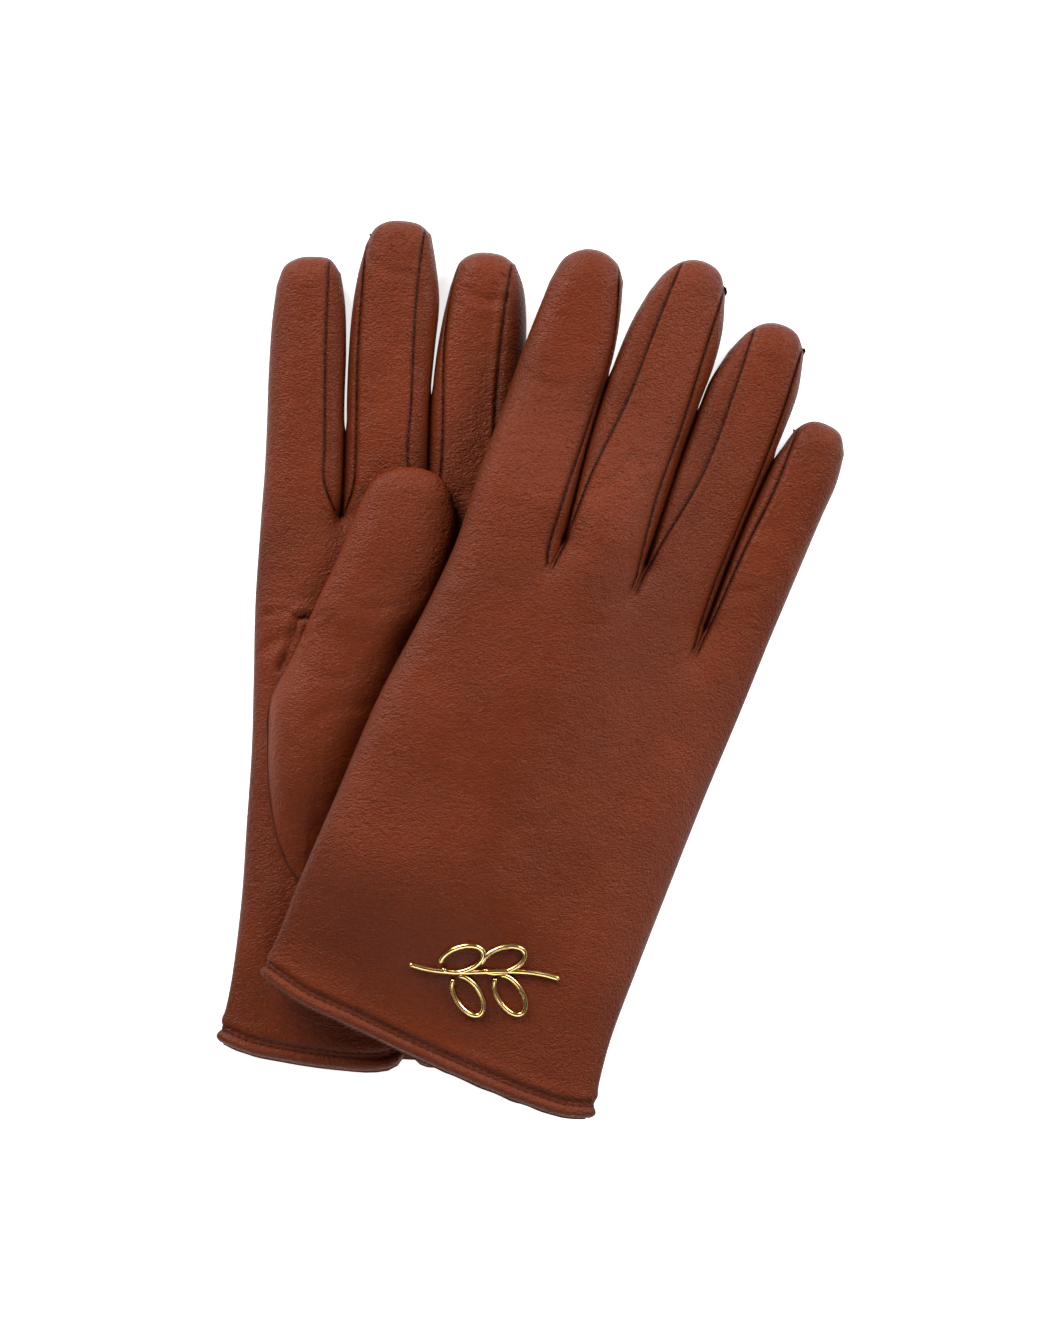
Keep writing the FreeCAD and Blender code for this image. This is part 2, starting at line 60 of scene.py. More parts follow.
# Plan of each glove in its own millimetres: x across, y from the cuff to the fingertips.
# cuff_top is the edge of the upper sheet, cuff_low that of the lower sheet. Each finger has its
# left side, tip and right side, and how far its two seams lie in from its sides (root, tip).
GLOVES = {
    "left": {
        "palm_up": True,
        "joint_plan": {"index": ((-37.9, 146.0), (-40.9, 221.4), 17.0, 47.0),
                       "middle": ((-13.3, 148.0), (-17.2, 234.2), 20.5, 53.0),
                       "ring": ((10.0, 147.0), (7.9, 227.1), 21.5, 51.0),
                       "little": ((29.4, 144.0), (33.6, 206.8), 14.0, 38.0)},
        "index_side": [(-48.6, -0.6), (-46.4, 13), (-45.2, 38), (-45.6, 62), (-46.0, 82), (-47.2, 102),
                       (-48.6, 124), (-49.1, 149)],
        "little_side": [(47.6, 0.5), (45.6, 20), (43.6, 45), (41.4, 75), (39.6, 105), (38.6, 146)],
        "crotches": [(-26.4, 150.0), (-2.5, 151.0), (20.8, 147.0)],
        "valleys": [(-26.6, 147.5), (-2.6, 148.5), (20.8, 144.5)],
        "cuff_top": [[(-48.6, -0.6), (-38.8, -3.4), (-24.5, -5.0)],
                     [(-24.5, -5.0), (-12.0, -5.5), (-3.0, -4.9), (1.6, -3.4), (4.2, -0.4), (5.0, 4.0),
                      (5.2, 12.0)],
                     [(5.2, 12.0), (5.5, 4.0), (6.6, 0.4), (9.6, -2.0), (14.0, -2.4), (24.0, -1.8)],
                     [(24.0, -1.8), (36.0, -0.8), (47.6, 0.5)]],
        "cuff_low": [[(-48.6, -0.6), (-36.0, -1.2), (-24.5, -1.2)],
                     [(-24.5, -1.2), (-10.0, -1.0), (5.2, -0.7)],
                     [(5.2, -0.7), (14.0, -0.4), (24.0, -0.2)],
                     [(24.0, -0.2), (36.0, 0.0), (47.6, 0.5)]],
        "fingers": {
            "index": {"left": [(-49.1, 149), (-49.2, 160), (-49.7, 173), (-50.5, 188), (-50.8, 203),
                               (-50.4, 213)],
                      "tip": [(-48.6, 218.6), (-45.0, 221.2), (-40.5, 222.0), (-36.0, 221.6)],
                      "right": [(-32.6, 217.8), (-30.6, 209.0), (-29.2, 196), (-28.5, 183), (-27.6, 171),
                                (-27.0, 160), (-26.4, 150)],
                      "seams": (None,
                                [(-36.4, 221.0), (-35.0, 196.0), (-32.8, 168.0), (-32.2, 159.0),
                                 (-27.4, 149.0)])},
            "middle": {"left": [(-26.4, 150), (-26.3, 160), (-26.9, 171), (-27.9, 183), (-28.5, 196),
                                (-28.6, 207), (-27.9, 217.5), (-26.4, 226.5)],
                       "tip": [(-24.0, 231.6), (-20.6, 233.7), (-16.6, 234.2), (-11.8, 233.6)],
                       "right": [(-8.2, 231.0), (-6.2, 223), (-4.3, 212.5), (-4.4, 198.4), (-4.5, 185.8),
                                 (-3.9, 172), (-3.1, 160), (-2.5, 151)],
                       "seams": ([(-26.3, 226.0), (-25.6, 194.0), (-23.9, 168.0), (-23.7, 158.0),
                                  (-26.2, 149.0)],
                                [(-10.0, 232.0), (-10.8, 212.0), (-9.7, 184.0), (-8.9, 165.0),
                                 (-3.6, 151.0)])},
            "ring": {"left": [(-2.5, 151), (-2.5, 160), (-3.2, 172), (-4.0, 184), (-3.9, 196), (-3.0, 207.1),
                              (-1.6, 217.0)],
                     "tip": [(0.6, 224.2), (4.0, 226.7), (8.0, 227.4), (12.5, 226.8)],
                     "right": [(16.2, 224.6), (18.9, 218.6), (20.5, 210.0), (21.3, 198), (21.4, 182),
                               (21.2, 165),
                               (20.8, 147)],
                     "seams": ([(-0.7, 223.0), (-1.7, 201.0), (0.2, 173.0), (0.4, 162.0), (-2.0, 151.0)],
                                [(15.3, 226.0), (14.0, 203.0), (14.5, 175.0), (16.0, 160.0), (20.0, 147.0)])},
            "little": {"left": [(20.8, 147), (21.7, 165), (22.3, 180), (23.6, 192)],
                       "tip": [(26.4, 201.0), (30.4, 205.6), (34.4, 206.6), (38.2, 204.2)],
                       "right": [(40.9, 197.5), (41.5, 185), (40.2, 165), (38.6, 146)],
                       "seams": ([(27.6, 202.0), (25.4, 180.0), (24.0, 160.0), (21.6, 147.0)],
                                None)},
        },
    },
    "right": {
        "palm_up": False,
        "joint_plan": {"index": ((-25.4, 144.0), (-30.4, 224.7), 17.0, 49.0),
                       "middle": ((0.7, 146.0), (-0.9, 232.4), 18.0, 52.0),
                       "ring": ((23.3, 144.0), (26.3, 223.7), 17.0, 49.0),
                       "little": ((40.6, 138.0), (48.2, 201.1), 13.0, 38.0)},
        "index_side": [(-50.3, 2.1), (-49.3, 16), (-48.8, 31), (-47.1, 55.5), (-45.1, 86), (-40.6, 117.5),
                       (-39.0, 135), (-39.2, 146)],
        "little_side": [(51.0, -4.5), (49.6, 4.0), (48.4, 17.7), (48.8, 40.3), (49.6, 62.8), (50.7, 90),
                        (52.3, 117.5), (53.2, 138)],
        "crotches": [(-10.9, 146.0), (12.9, 147.0), (34.7, 136.0)],
        "valleys": [(-12.0, 136.4), (12.4, 138.0), (34.4, 126.6)],
        "cuff_top": [[(-50.3, 2.1), (-37.3, -1.3), (-23.6, -2.6)], [(-23.6, -2.6), (-6.4, -4.4), (7.6, -5.6)],
                     [(7.6, -5.6), (18.1, -6.3), (29.3, -6.9)], [(29.3, -6.9), (42.6, -6.6), (51.0, -4.5)]],
        "cuff_low": [[(-50.3, 2.1), (-37.3, -0.4), (-23.6, -1.4)], [(-23.6, -1.4), (-6.4, -3.0), (7.6, -4.2)],
                     [(7.6, -4.2), (18.1, -4.9), (29.3, -5.4)], [(29.3, -5.4), (42.6, -5.4), (51.0, -4.5)]],
        "fingers": {
            "index": {"left": [(-39.2, 146), (-39.6, 157), (-39.4, 172), (-39.5, 190), (-39.1, 204),
                               (-38.8, 213)],
                      "tip": [(-37.0, 220.4), (-32.6, 224.4), (-27.4, 225.4), (-22.4, 223.6)],
                      "right": [(-19.2, 219.4), (-16.8, 210), (-14.9, 199), (-14.3, 186), (-12.9, 166),
                                (-10.9, 146)],
                      "seams": (None,
                                [(-22.4, 222.8), (-15.9, 200.6), (-15.2, 180.0), (-14.7, 153.3),
                                 (-14.0, 141.0), (-12.3, 136.0)])},
            "middle": {"left": [(-10.9, 146), (-12.5, 166), (-13.9, 186), (-14.0, 199), (-13.3, 210),
                                (-11.6, 219.5)],
                       "tip": [(-8.8, 226.6), (-4.8, 231.2), (0.4, 232.8), (5.4, 231.4)],
                       "right": [(9.0, 226.0), (11.7, 216), (12.6, 206), (12.4, 196), (12.1, 180),
                                 (12.3, 164),
                                 (12.9, 147)],
                       "seams": ([(-5.3, 230.6), (-6.4, 209.9), (-7.0, 188.8), (-9.6, 165.4),
                                  (-10.2, 150.0), (-11.7, 136.0)],
                                [(8.1, 227.0), (8.7, 209.3), (9.6, 185.8), (9.6, 164.9), (11.4, 145.0),
                                 (12.2, 138.0)])},
            "ring": {"left": [(12.9, 147), (12.7, 164), (12.4, 180), (12.6, 194), (13.0, 202), (15.2, 211.5)],
                     "tip": [(18.6, 218.6), (22.0, 222.2), (26.5, 223.6), (31.6, 222.6)],
                     "right": [(35.4, 218.0), (37.5, 207), (37.5, 196.9), (36.3, 180), (35.1, 165),
                               (34.8, 150),
                               (34.7, 136)],
                     "seams": ([(19.8, 220.6), (20.4, 201.5), (20.0, 177.5), (15.6, 154.4),
                                (13.4, 143.0), (12.7, 138.0)],
                                [(34.4, 217.6), (35.1, 197.8), (34.3, 170.7), (33.1, 146.4),
                                 (33.5, 132.0), (34.2, 126.6)])},
            "little": {"left": [(34.7, 136), (35.1, 150), (35.8, 165), (36.9, 180), (38.2, 190)],
                       "tip": [(40.6, 197.4), (43.8, 200.6), (47.8, 201.3), (52.6, 200.0)],
                       "right": [(55.6, 195.0), (56.3, 186.4), (55.5, 176), (54.4, 158), (53.2, 138)],
                       "seams": ([(41.0, 198.0), (40.4, 178.8), (38.1, 160.1), (36.4, 140.0), (34.8, 126.6)],
                                None)},
        },
    },
}

# Section of a glove (mm): height of its side edges, rise of the upper sheet, fall of the lower one
EDGE_HEIGHT = 5.3
TOP_RISE = 5.9
LOW_FALL = 5.0
ROUND_HAND = 17.0
ROUND_FINGER = 8.6
ROUND_LOW = 5.0
LEATHER = 0.7
STITCH_PITCH = 2.7
THREAD_RADIUS = 0.18
HEM_PITCH = 2.3
LIP = ((0.0, 1.3), (0.3, 1.7), (0.9, 1.95), (2.4, 2.05), (7.0, 2.1))
LINING_DEPTH = 2.25
LINING_OUT = 0.55
LINING_ROWS = 70
LINING_THICKNESS = 0.3

# Drape of the upper glove over the lower one, as the solid model has it (mm)
LOWER_ORIGIN = (-39.6, -108.6)
STACK = 12.5
RAMP = 50.0
LOWER_EDGE = (14.6, 0.04)
THUMB_ROOM = 8.8
ROOM_X = (-6.0, 30.0)
ROOM_CUFF = (8.0, 50.0)
ROOM_TIP = (150.0, 188.0)

# Mesh density: rows by the hem, up the hand, up a finger and over its end; columns beside and between seams
HEM_STEPS = (0.0, 0.3, 0.7, 1.2, 1.8, 2.4, 2.8, 3.1, 3.4, 3.7, 4.05, 4.4, 4.7, 5.0, 5.5, 6.2, 7.0, 8.0)
HEM_STITCH_ROWS = (3.4, 4.7)
HEM_ROWS = 14
HAND_ROWS = 122
FINGER_ROWS = 66
END_ROWS = 16
END_LENGTH = 8.0
SIDE_COLUMNS = 8
PANEL_COLUMNS = 16

# Plan (mm, or shares of a length): height of a fingertip's cap, where the cap starts to bend the rows, how
# far up the hand the rows follow the cuff, and where thin slits open between fingers, by palm_up
TIP_HEIGHT = 4.6
FINGER_END = 0.62
HAND_LENGTH = 150.0
CUFF_SHARE = 0.4
SLIT_START = {True: (172.0, 184.0, 184.0), False: (191.0, 190.0, 186.0)}

# Cuff and stitches (mm): how much flatter the open end is, upper sheet, edges and lower sheet; how much of a
# seam must show before its stitches are laid; least depth of a stitch from the outline; end of a rod as a
# part of its radius
CUFF_FALL = 3.2
CUFF_EDGE_FALL = 1.4
CUFF_LOW_FALL = 1.5
SHOWN_SEAM = 0.85
STITCH_MARGIN = 2.2
ROD_END = 0.6
FAR = 1e3


def smooth(t):
    t = np.clip(t, 0.0, 1.0)
    return t * t * (3.0 - 2.0 * t)


def mix(a, b, t):
    return a + (b - a) * t


# ---------------------------------------------------------------- placing a glove in the frame

def plan_point(glove, key, distance):
    (rx, ry), (tx, ty) = glove["joint_plan"][key][:2]
    length = math.hypot(tx - rx, ty - ry)
    return np.array([rx + (tx - rx) * distance / length, ry + (ty - ry) * distance / length])


def knuckle(name, key):
    position = JOINTS[f"{name}_{key}_knuckle"]["pos_m"]
    return np.array(position[:2]) / MM


def settle(name, glove):
    """Finds the glove's place and turn in the frame from two of its knuckle joints."""
    a = plan_point(glove, "index", glove["joint_plan"]["index"][2])
    b = plan_point(glove, "little", glove["joint_plan"]["little"][2])
    pa = knuckle(name, "index")
    pb = knuckle(name, "little")
    turn = math.atan2(*(pb - pa)[::-1]) - math.atan2(*(b - a)[::-1])
    c, s = math.cos(turn), math.sin(turn)
    glove["matrix"] = np.array([[c, -s], [s, c]])
    glove["origin"] = (pa + pb) / 2 - glove["matrix"] @ ((a + b) / 2)
    glove["name"] = name


for glove_name, glove_plan in GLOVES.items():
    settle(glove_name, glove_plan)
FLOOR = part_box("left_back_panel")[0][2] / MM


def drape_shift():
    """Where the solid model's own drape formula has its zero, from the lower glove's place."""
    return GLOVES["left"]["origin"] - np.array(LOWER_ORIGIN)


SHIFT = drape_shift()


def drape(px, py):
    """Height of the upper glove's underside above the floor."""
    ox = px - SHIFT[0]
    oy = py - SHIFT[1]
    stack = STACK * (1.0 - smooth((ox - LOWER_EDGE[0] - LOWER_EDGE[1] * oy) / RAMP))
    right = GLOVES["right"]
    rel = np.stack([px - right["origin"][0], py - right["origin"][1]], axis=-1) @ right["matrix"]
    across = 1.0 - smooth((rel[..., 0] - ROOM_X[0]) / (ROOM_X[1] - ROOM_X[0]))
    cuff = smooth((rel[..., 1] - ROOM_CUFF[0]) / (ROOM_CUFF[1] - ROOM_CUFF[0]))
    tip = 1.0 - smooth((rel[..., 1] - ROOM_TIP[0]) / (ROOM_TIP[1] - ROOM_TIP[0]))
    return stack + THUMB_ROOM * across * cuff * tip


def to_frame(glove, x, y, z):
    """Frame position in metres from the glove's own plan and height above its underside."""
    plan = np.stack([x, y], axis=-1) @ glove["matrix"].T + glove["origin"]
    base = FLOOR if glove["palm_up"] else FLOOR + drape(plan[..., 0], plan[..., 1])
    return np.concatenate([plan, (z + base)[..., None]], axis=-1) * MM


# ---------------------------------------------------------------- noise and curves

def noise_field(x, y, seed):
    """Smooth gradient noise in about -1..1 with a cell of one unit."""
    table = np.random.default_rng(seed).normal(size=(64, 64, 2))
    xi = np.floor(x).astype(int)
    yi = np.floor(y).astype(int)
    fx = x - xi
    fy = y - yi
    u = fx * fx * fx * (fx * (fx * 6 - 15) + 10)
    v = fy * fy * fy * (fy * (fy * 6 - 15) + 10)

    def corner(dx, dy):
        g = table[(xi + dx) % 64, (yi + dy) % 64]
        return g[..., 0] * (fx - dx) + g[..., 1] * (fy - dy)

    return mix(mix(corner(0, 0), corner(1, 0), u), mix(corner(0, 1), corner(1, 1), u), v)


def spline(points, count):
    """Even points along a centripetal curve through the given ones."""
    p = np.array(points, float)
    if len(p) == 2:
        return p[0] + (p[1] - p[0]) * np.linspace(0, 1, count)[:, None]
    ends = np.vstack([2 * p[0] - p[1], p, 2 * p[-1] - p[-2]])
    dense = []
    for k in range(len(p) - 1):
        p0, p1, p2, p3 = ends[k:k + 4]
        d1 = max(np.linalg.norm(p1 - p0), 1e-6) ** 0.5
        d2 = max(np.linalg.norm(p2 - p1), 1e-6) ** 0.5
        d3 = max(np.linalg.norm(p3 - p2), 1e-6) ** 0.5
        m1 = d2 * ((p1 - p0) / d1 - (p2 - p0) / (d1 + d2) + (p2 - p1) / d2)
        m2 = d2 * ((p2 - p1) / d2 - (p3 - p1) / (d2 + d3) + (p3 - p2) / d3)
        t = np.linspace(0, 1, 24, endpoint=False)[:, None]
        dense.append((2 * t**3 - 3 * t**2 + 1) * p1 + (t**3 - 2 * t**2 + t) * m1
                     + (-2 * t**3 + 3 * t**2) * p2 + (t**3 - t**2) * m2)
    dense = np.vstack(dense + [p[-1:]])
    return even(dense, count)


def even(path, count, spacing=None):
    """Resamples a path by its length, evenly or at the given fractions."""
    steps = np.r_[0, np.cumsum(np.linalg.norm(np.diff(path, axis=0), axis=1))]
    fractions = np.linspace(0, 1, count) if spacing is None else spacing
    places = fractions * steps[-1]
    return np.stack([np.interp(places, steps, path[:, k]) for k in range(path.shape[1])], axis=-1)


# ---------------------------------------------------------------- plan grid of a glove

def column_fractions(width, left, right):
    """Places across a strip: denser by its two seams, which lie left and right mm in from its sides."""
    side = np.linspace(0, 1, SIDE_COLUMNS + 1)
    side = 0.5 - 0.5 * np.cos(np.pi * side)
    panel = np.linspace(0, 1, PANEL_COLUMNS + 1)[1:-1]
    panel = mix(panel, 0.5 - 0.5 * np.cos(np.pi * panel), 0.45)
    left = left[:, None] / width[:, None]
    right = 1.0 - right[:, None] / width[:, None]
    return np.hstack([left * side, mix(left, right, panel), mix(right, 1.0, side)])


def seam_inset(seam, side, other):
    """How far in from the strip's side the seam runs, and how much of a seam it is, row by row."""
    width = np.linalg.norm(other - side, axis=1)
    if seam is None:
        return np.minimum(2.6, 0.3 * width), np.zeros(len(side))
    line = spline(seam, 80)[::-1]
    across = 0.2 * np.ones(len(side))
    for _ in range(4):
        y = mix(side[:, 1], other[:, 1], across)
        x = np.interp(y, line[:, 1], line[:, 0])
        across = np.clip((x - side[:, 0]) / (other[:, 0] - side[:, 0]), 0.02, 0.42)
    low = line[0, 1]
    shown = smooth((side[:, 1] - low + 1.0) / 4.0)
    inset = mix(np.minimum(1.0, 0.2 * width), np.maximum(across * width, 0.9), shown)
    return np.minimum(inset, 0.42 * width), shown


def hand_rows(length):
    """Fractions of the way up the hand, close together by the hem."""
    start = np.array(HEM_STEPS) / length
    rest = np.linspace(start[-1], 1.0, HAND_ROWS + 2 - len(start))
    return np.r_[start, rest[1:]]


def finger_steps(length):
    """Fractions of the way up a finger, closing in on the end of its tip."""
    last = END_LENGTH / length
    close = 1.0 - last * np.cos(0.5 * np.pi * np.linspace(0, 1, END_ROWS + 1))
    return np.r_[np.linspace(0, 1.0 - last, FINGER_ROWS + 1)[1:-1], close]


def finger_outline(finger):
    """Left side, tip and right side of a finger, split where the tip turns over."""
    path = even(np.vstack([spline(finger["left"], 300)[:-1],
                           spline([finger["left"][-1]] + finger["tip"] + [finger["right"][0]], 160)[:-1],
                           spline(finger["right"], 300)]), 1200)
    top = path[:, 1].max()
    high = np.nonzero(path[:, 1] > top - TIP_HEIGHT)[0]
    return path[:high[0] + 1], path[high[0]:high[-1] + 1], path[high[-1]:][::-1]


def along_chord(tip, fractions):
    """Points of a fingertip's end that lie above the given parts of the line between its corners."""
    chord = tip[-1] - tip[0]
    share = np.maximum.accumulate((tip - tip[0]) @ chord / (chord @ chord))
    return np.stack([np.interp(fractions, share, tip[:, k]) for k in (0, 1)], axis=-1)


def press_together(outlines, glove):
    """Neighbouring fingers touch near their roots, up to where a thin slit opens between them."""
    for k, (key, other) in enumerate(zip(FINGERS, FINGERS[1:])):
        right = outlines[key][2]
        left = outlines[other][0]
        right_x = right[:, 0].copy()
        left_x = left[:, 0].copy()
        slit = SLIT_START[glove["palm_up"]][k]
        for side, x, far_y, far_x, way in ((right, right_x, left[:, 1], left_x, 1),
                                           (left, left_x, right[:, 1], right_x, -1)):
            gap = way * (np.interp(side[:, 1], far_y, far_x) - x)
            close = (1.0 - smooth((gap - 0.7) / 1.2)) * (1.0 - smooth((side[:, 1] - slit) / 5.0))
            above = smooth((side[:, 1] - glove["crotches"][k][1]) / 4.0)
            side[:, 0] += way * 0.5 * (gap + 0.3) * close * above


def strip_bounds(glove, k, edge):
    """The two sides of finger strip k over the hand, from the cuff edge to the points between fingers."""
    bounds = []
    for b, start in ((k, edge[0]), (k + 1, edge[-1])):
        if b in (0, 4):
            path = spline(glove["index_side"] if b == 0 else glove["little_side"], 400)
        else:
            valley = np.array(glove["valleys"][b - 1])
            path = spline([start, mix(start, valley, 0.5), valley, glove["crotches"][b - 1]], 400)
        length = np.linalg.norm(np.diff(path, axis=0), axis=1).sum()
        bounds.append(even(path, 0, hand_rows(length)))
    return bounds


def glove_strips(glove, cuff_key):
    """Four strips of plan points, one per finger, from the cuff edge to the fingertip."""
    strips = {}
    outlines = {key: finger_outline(glove["fingers"][key]) for key in FINGERS}
    press_together(outlines, glove)
    for k, key in enumerate(FINGERS):
        finger = glove["fingers"][key]
        edge = spline(glove[cuff_key][k], 60)
        bounds = strip_bounds(glove, k, edge)
        side_l, tip, side_r = outlines[key]
        steps = finger_steps(np.linalg.norm(np.diff(side_l, axis=0), axis=1).sum())
        left = np.vstack([bounds[0], even(side_l, 0, steps)])
        right = np.vstack([bounds[1], even(side_r, 0, steps)])
        width = np.linalg.norm(right - left, axis=1)
        inset_l, fade_l = seam_inset(finger["seams"][0], left, right)
        inset_r, fade_r = seam_inset(finger["seams"][1], right, left)
        f = column_fractions(width, inset_l, inset_r)
        plan = left[:, None] + (right - left)[:, None] * f[..., None]
        drop = 1.0 - smooth(np.r_[hand_rows(HAND_LENGTH), np.ones(len(steps))] / CUFF_SHARE)
        plan += (even(edge, 0, f[0]) - plan[0])[None] * drop[:, None, None]
        rise = np.r_[np.zeros(HAND_ROWS + 1), smooth((steps - FINGER_END) / (1.0 - FINGER_END)) ** 1.3]
        bulge = along_chord(tip, f[-1]) - plan[-1]
        plan += bulge[None] * rise[:, None, None]
        strips[key] = {"plan": plan, "across": f * width[:, None], "width": width,
                       "inset": (inset_l, inset_r), "fade": (fade_l, fade_r),
                       "left": plan[:, 0], "right": plan[:, -1], "tip": plan[-1]}
    return strips


def outline_points(strips):
    """The silhouette: both sides of the hand and every finger, without the cuff edge."""
    parts = [strips["index"]["left"][:HAND_ROWS + 1], strips["little"]["right"][:HAND_ROWS + 1]]
    for key in FINGERS:
        strip = strips[key]
        up = strip["left"][HAND_ROWS:]
        down = strip["right"][HAND_ROWS:][::-1]
        parts.append(np.vstack([up, strip["tip"][1:-1], down]))
    return parts


class Distance:
    """Distance from plan points to a set of polylines."""

    def __init__(self, lines, step=0.4):
        self.points = []
        self.nexts = []
        for line in lines:
            length = np.linalg.norm(np.diff(line, axis=0), axis=1).sum()
            dense = even(line, max(3, int(length / step)))
            self.points.append(dense[:-1])
            self.nexts.append(dense[1:])
        self.points = np.vstack(self.points)
        self.nexts = np.vstack(self.nexts)
        self.tree = kdtree.KDTree(len(self.points))
        middles = (self.points + self.nexts) / 2
        for k, (x, y) in enumerate(middles):
            self.tree.insert((x, y, 0.0), k)
        self.tree.balance()

    def __call__(self, plan):
        flat = plan.reshape(-1, 2)
        best = np.full(len(flat), 1e9)
        found = np.array([[hit[1] for hit in self.tree.find_n((x, y, 0.0), 3)] for x, y in flat])
        for column in found.T:
            a = self.points[column]
            ab = self.nexts[column] - a
            t = np.clip(((flat - a) * ab).sum(1) / np.maximum((ab * ab).sum(1), 1e-12), 0, 1)
            best = np.minimum(best, np.linalg.norm(flat - a - ab * t[:, None], axis=1))
        return best.reshape(plan.shape[:-1])


def dome(t, power=2.2):
    return (1.0 - (1.0 - np.clip(t, 0, 1)) ** power) ** (1.0 / power)


# Where the section changes from hand to finger, and how the hollow below a fork runs out (mm)
SHARE_START = 26.0
SHARE_LENGTH = 40.0
VALLEY_DEPTH = 3.4
VALLEY_POWER = 1.6


def finger_share(glove, plan):
    """0 in the hand, 1 in the fingers, from plan places."""
    xs = [c[0] for c in glove["crotches"]]
    ys = [c[1] for c in glove["crotches"]]
    level = np.interp(plan[..., 0], xs, ys)
    return smooth((plan[..., 1] - level + SHARE_START) / SHARE_LENGTH)


def valley_distance(glove, plan):
    """Distance that stays small along the hollow below each fork, growing towards its lower point."""
    best = np.full(plan.shape[:-1], 1e9)
    for notch, low in zip(glove["crotches"], glove["valleys"]):
        a = np.array(notch)
        ab = np.array(low) - a
        t = np.clip(((plan - a) @ ab) / (ab @ ab), 0, 1)
        d = np.linalg.norm(plan - a - t[..., None] * ab, axis=-1)
        best = np.minimum(best, d + VALLEY_DEPTH * t ** VALLEY_POWER)
    return best


# Beside a crease the leather rises: by this part of its depth, this many half widths away and wide
FOLD_RIDGE = 0.45
FOLD_RIDGE_PLACE = 2.2
FOLD_RIDGE_HALF = 1.3
CREASE_REACH = 26.0

# Creases of the leather: plan points, depth and half width (mm)
CREASES = {
    "left": [
        ([(-48.0, 119.2), (-44.0, 121.0), (-38.0, 121.4), (-34.0, 120.4), (-29.6, 121.0)], 1.3, 0.6),
        ([(-36.0, 120.6), (-37.6, 113.0), (-40.2, 105.0)], 1.4, 0.8),
        ([(-35.4, 120.4), (-33.0, 115.0)], 1.2, 0.6),
        ([(-46.6, 109.0), (-42.4, 112.6), (-38.6, 115.0)], 0.6, 1.4),
        ([(-27.0, 224.0), (-20.0, 219.5), (-12.5, 219.0)], 0.45, 1.0),
        ([(-17.5, 229.5), (-14.0, 222.0), (-13.2, 212.0)], 0.35, 1.0),
        ([(3.0, 216.0), (8.0, 213.4), (14.4, 214.6)], 0.4, 1.0),
        ([(13.0, 221.0), (10.4, 213.0), (10.8, 204.0)], 0.3, 1.0),
    ],
    "right": [
        ([(-36.0, 186.0), (-30.0, 184.6), (-24.6, 186.4)], 0.28, 1.4),
        ([(-5.0, 176.0), (1.0, 173.4), (8.0, 175.0)], 0.22, 1.6),
        ([(-8.6, 160.0), (-3.0, 166.0), (-1.0, 172.0)], 0.22, 1.8),
        ([(44.0, 150.0), (38.0, 146.4), (36.4, 143.0)], 0.22, 1.4),
    ],
}


def wrinkles(glove, plan, share):
    """Slow unevenness of the leather and its named creases (mm)."""
    x = plan[..., 0]
    y = plan[..., 1]
    seed = 3 if glove["palm_up"] else 11
    field = 0.55 * noise_field(x / 30.0, y / 46.0, seed) * (1.0 - share)
    field += 0.30 * noise_field(x / 13.0, y / 19.0, seed + 1)
    field += 0.15 * noise_field(x / 6.0 + 0.2 * noise_field(x / 9, y / 9, seed + 5), y / 4.6, seed + 2)
    field += 0.07 * noise_field(x / 2.8, y / 2.2, seed + 3)
    for points, depth, half in CREASES[glove["name"]]:
        line = Distance([spline(points, 30)])
        near = np.abs(plan - np.mean(points, axis=0)).max(axis=-1) < CREASE_REACH
        d = np.full(x.shape, FAR)
        if near.any():
            d[near] = line(plan[near])
        fold = np.exp(-(d / half) ** 2)
        ridge = np.exp(-((d - FOLD_RIDGE_PLACE * half) / (FOLD_RIDGE_HALF * half)) ** 2)
        field -= depth * fold - FOLD_RIDGE * depth * ridge
    return field


def cuff_fall(plan):
    """The glove lies flatter towards its open end."""
    return 1.0 - smooth((plan[..., 1] + 4.0) / 46.0)


def top_height(glove, plan, distance):
    """Height of the upper sheet above the glove's underside, without seams."""
    share = finger_share(glove, plan)
    d = distance(plan)
    v = valley_distance(glove, plan)
    reach = mix(ROUND_HAND, ROUND_FINGER, share)
    near = np.minimum(d, v) - 0.5 * np.exp(-np.abs(d - v) / 1.6)
    fall = cuff_fall(plan)
    rise = TOP_RISE - CUFF_FALL * fall
    height = EDGE_HEIGHT - CUFF_EDGE_FALL * fall + rise * dome(np.maximum(near, 0.0) / reach)
    edge = smooth(d / 5.0)
    return height + wrinkles(glove, plan, share) * mix(0.15, 1.0, edge)


def low_height(plan, distance):
    fall = cuff_fall(plan)
    depth = LOW_FALL - CUFF_LOW_FALL * fall
    return EDGE_HEIGHT - CUFF_EDGE_FALL * fall - depth * dome(distance(plan) / ROUND_LOW)


# Finger seams (mm): the groove, the puckered ridge beside it and the bulge of the side strip;
# how wide the painted shade in the groove is, partly the dark seam line, and how much painted shade darkens
# the side strip
GROOVE_DEPTH = 0.70
GROOVE_HALF = 0.42
PUCKER = 0.10
RIDGE_HEIGHT = 0.26
RIDGE_PLACE = 1.2
RIDGE_HALF = 0.7
SIDE_BULGE = 0.45
GROOVE_SHADE = 0.40
SIDE_SHADE = 0.22


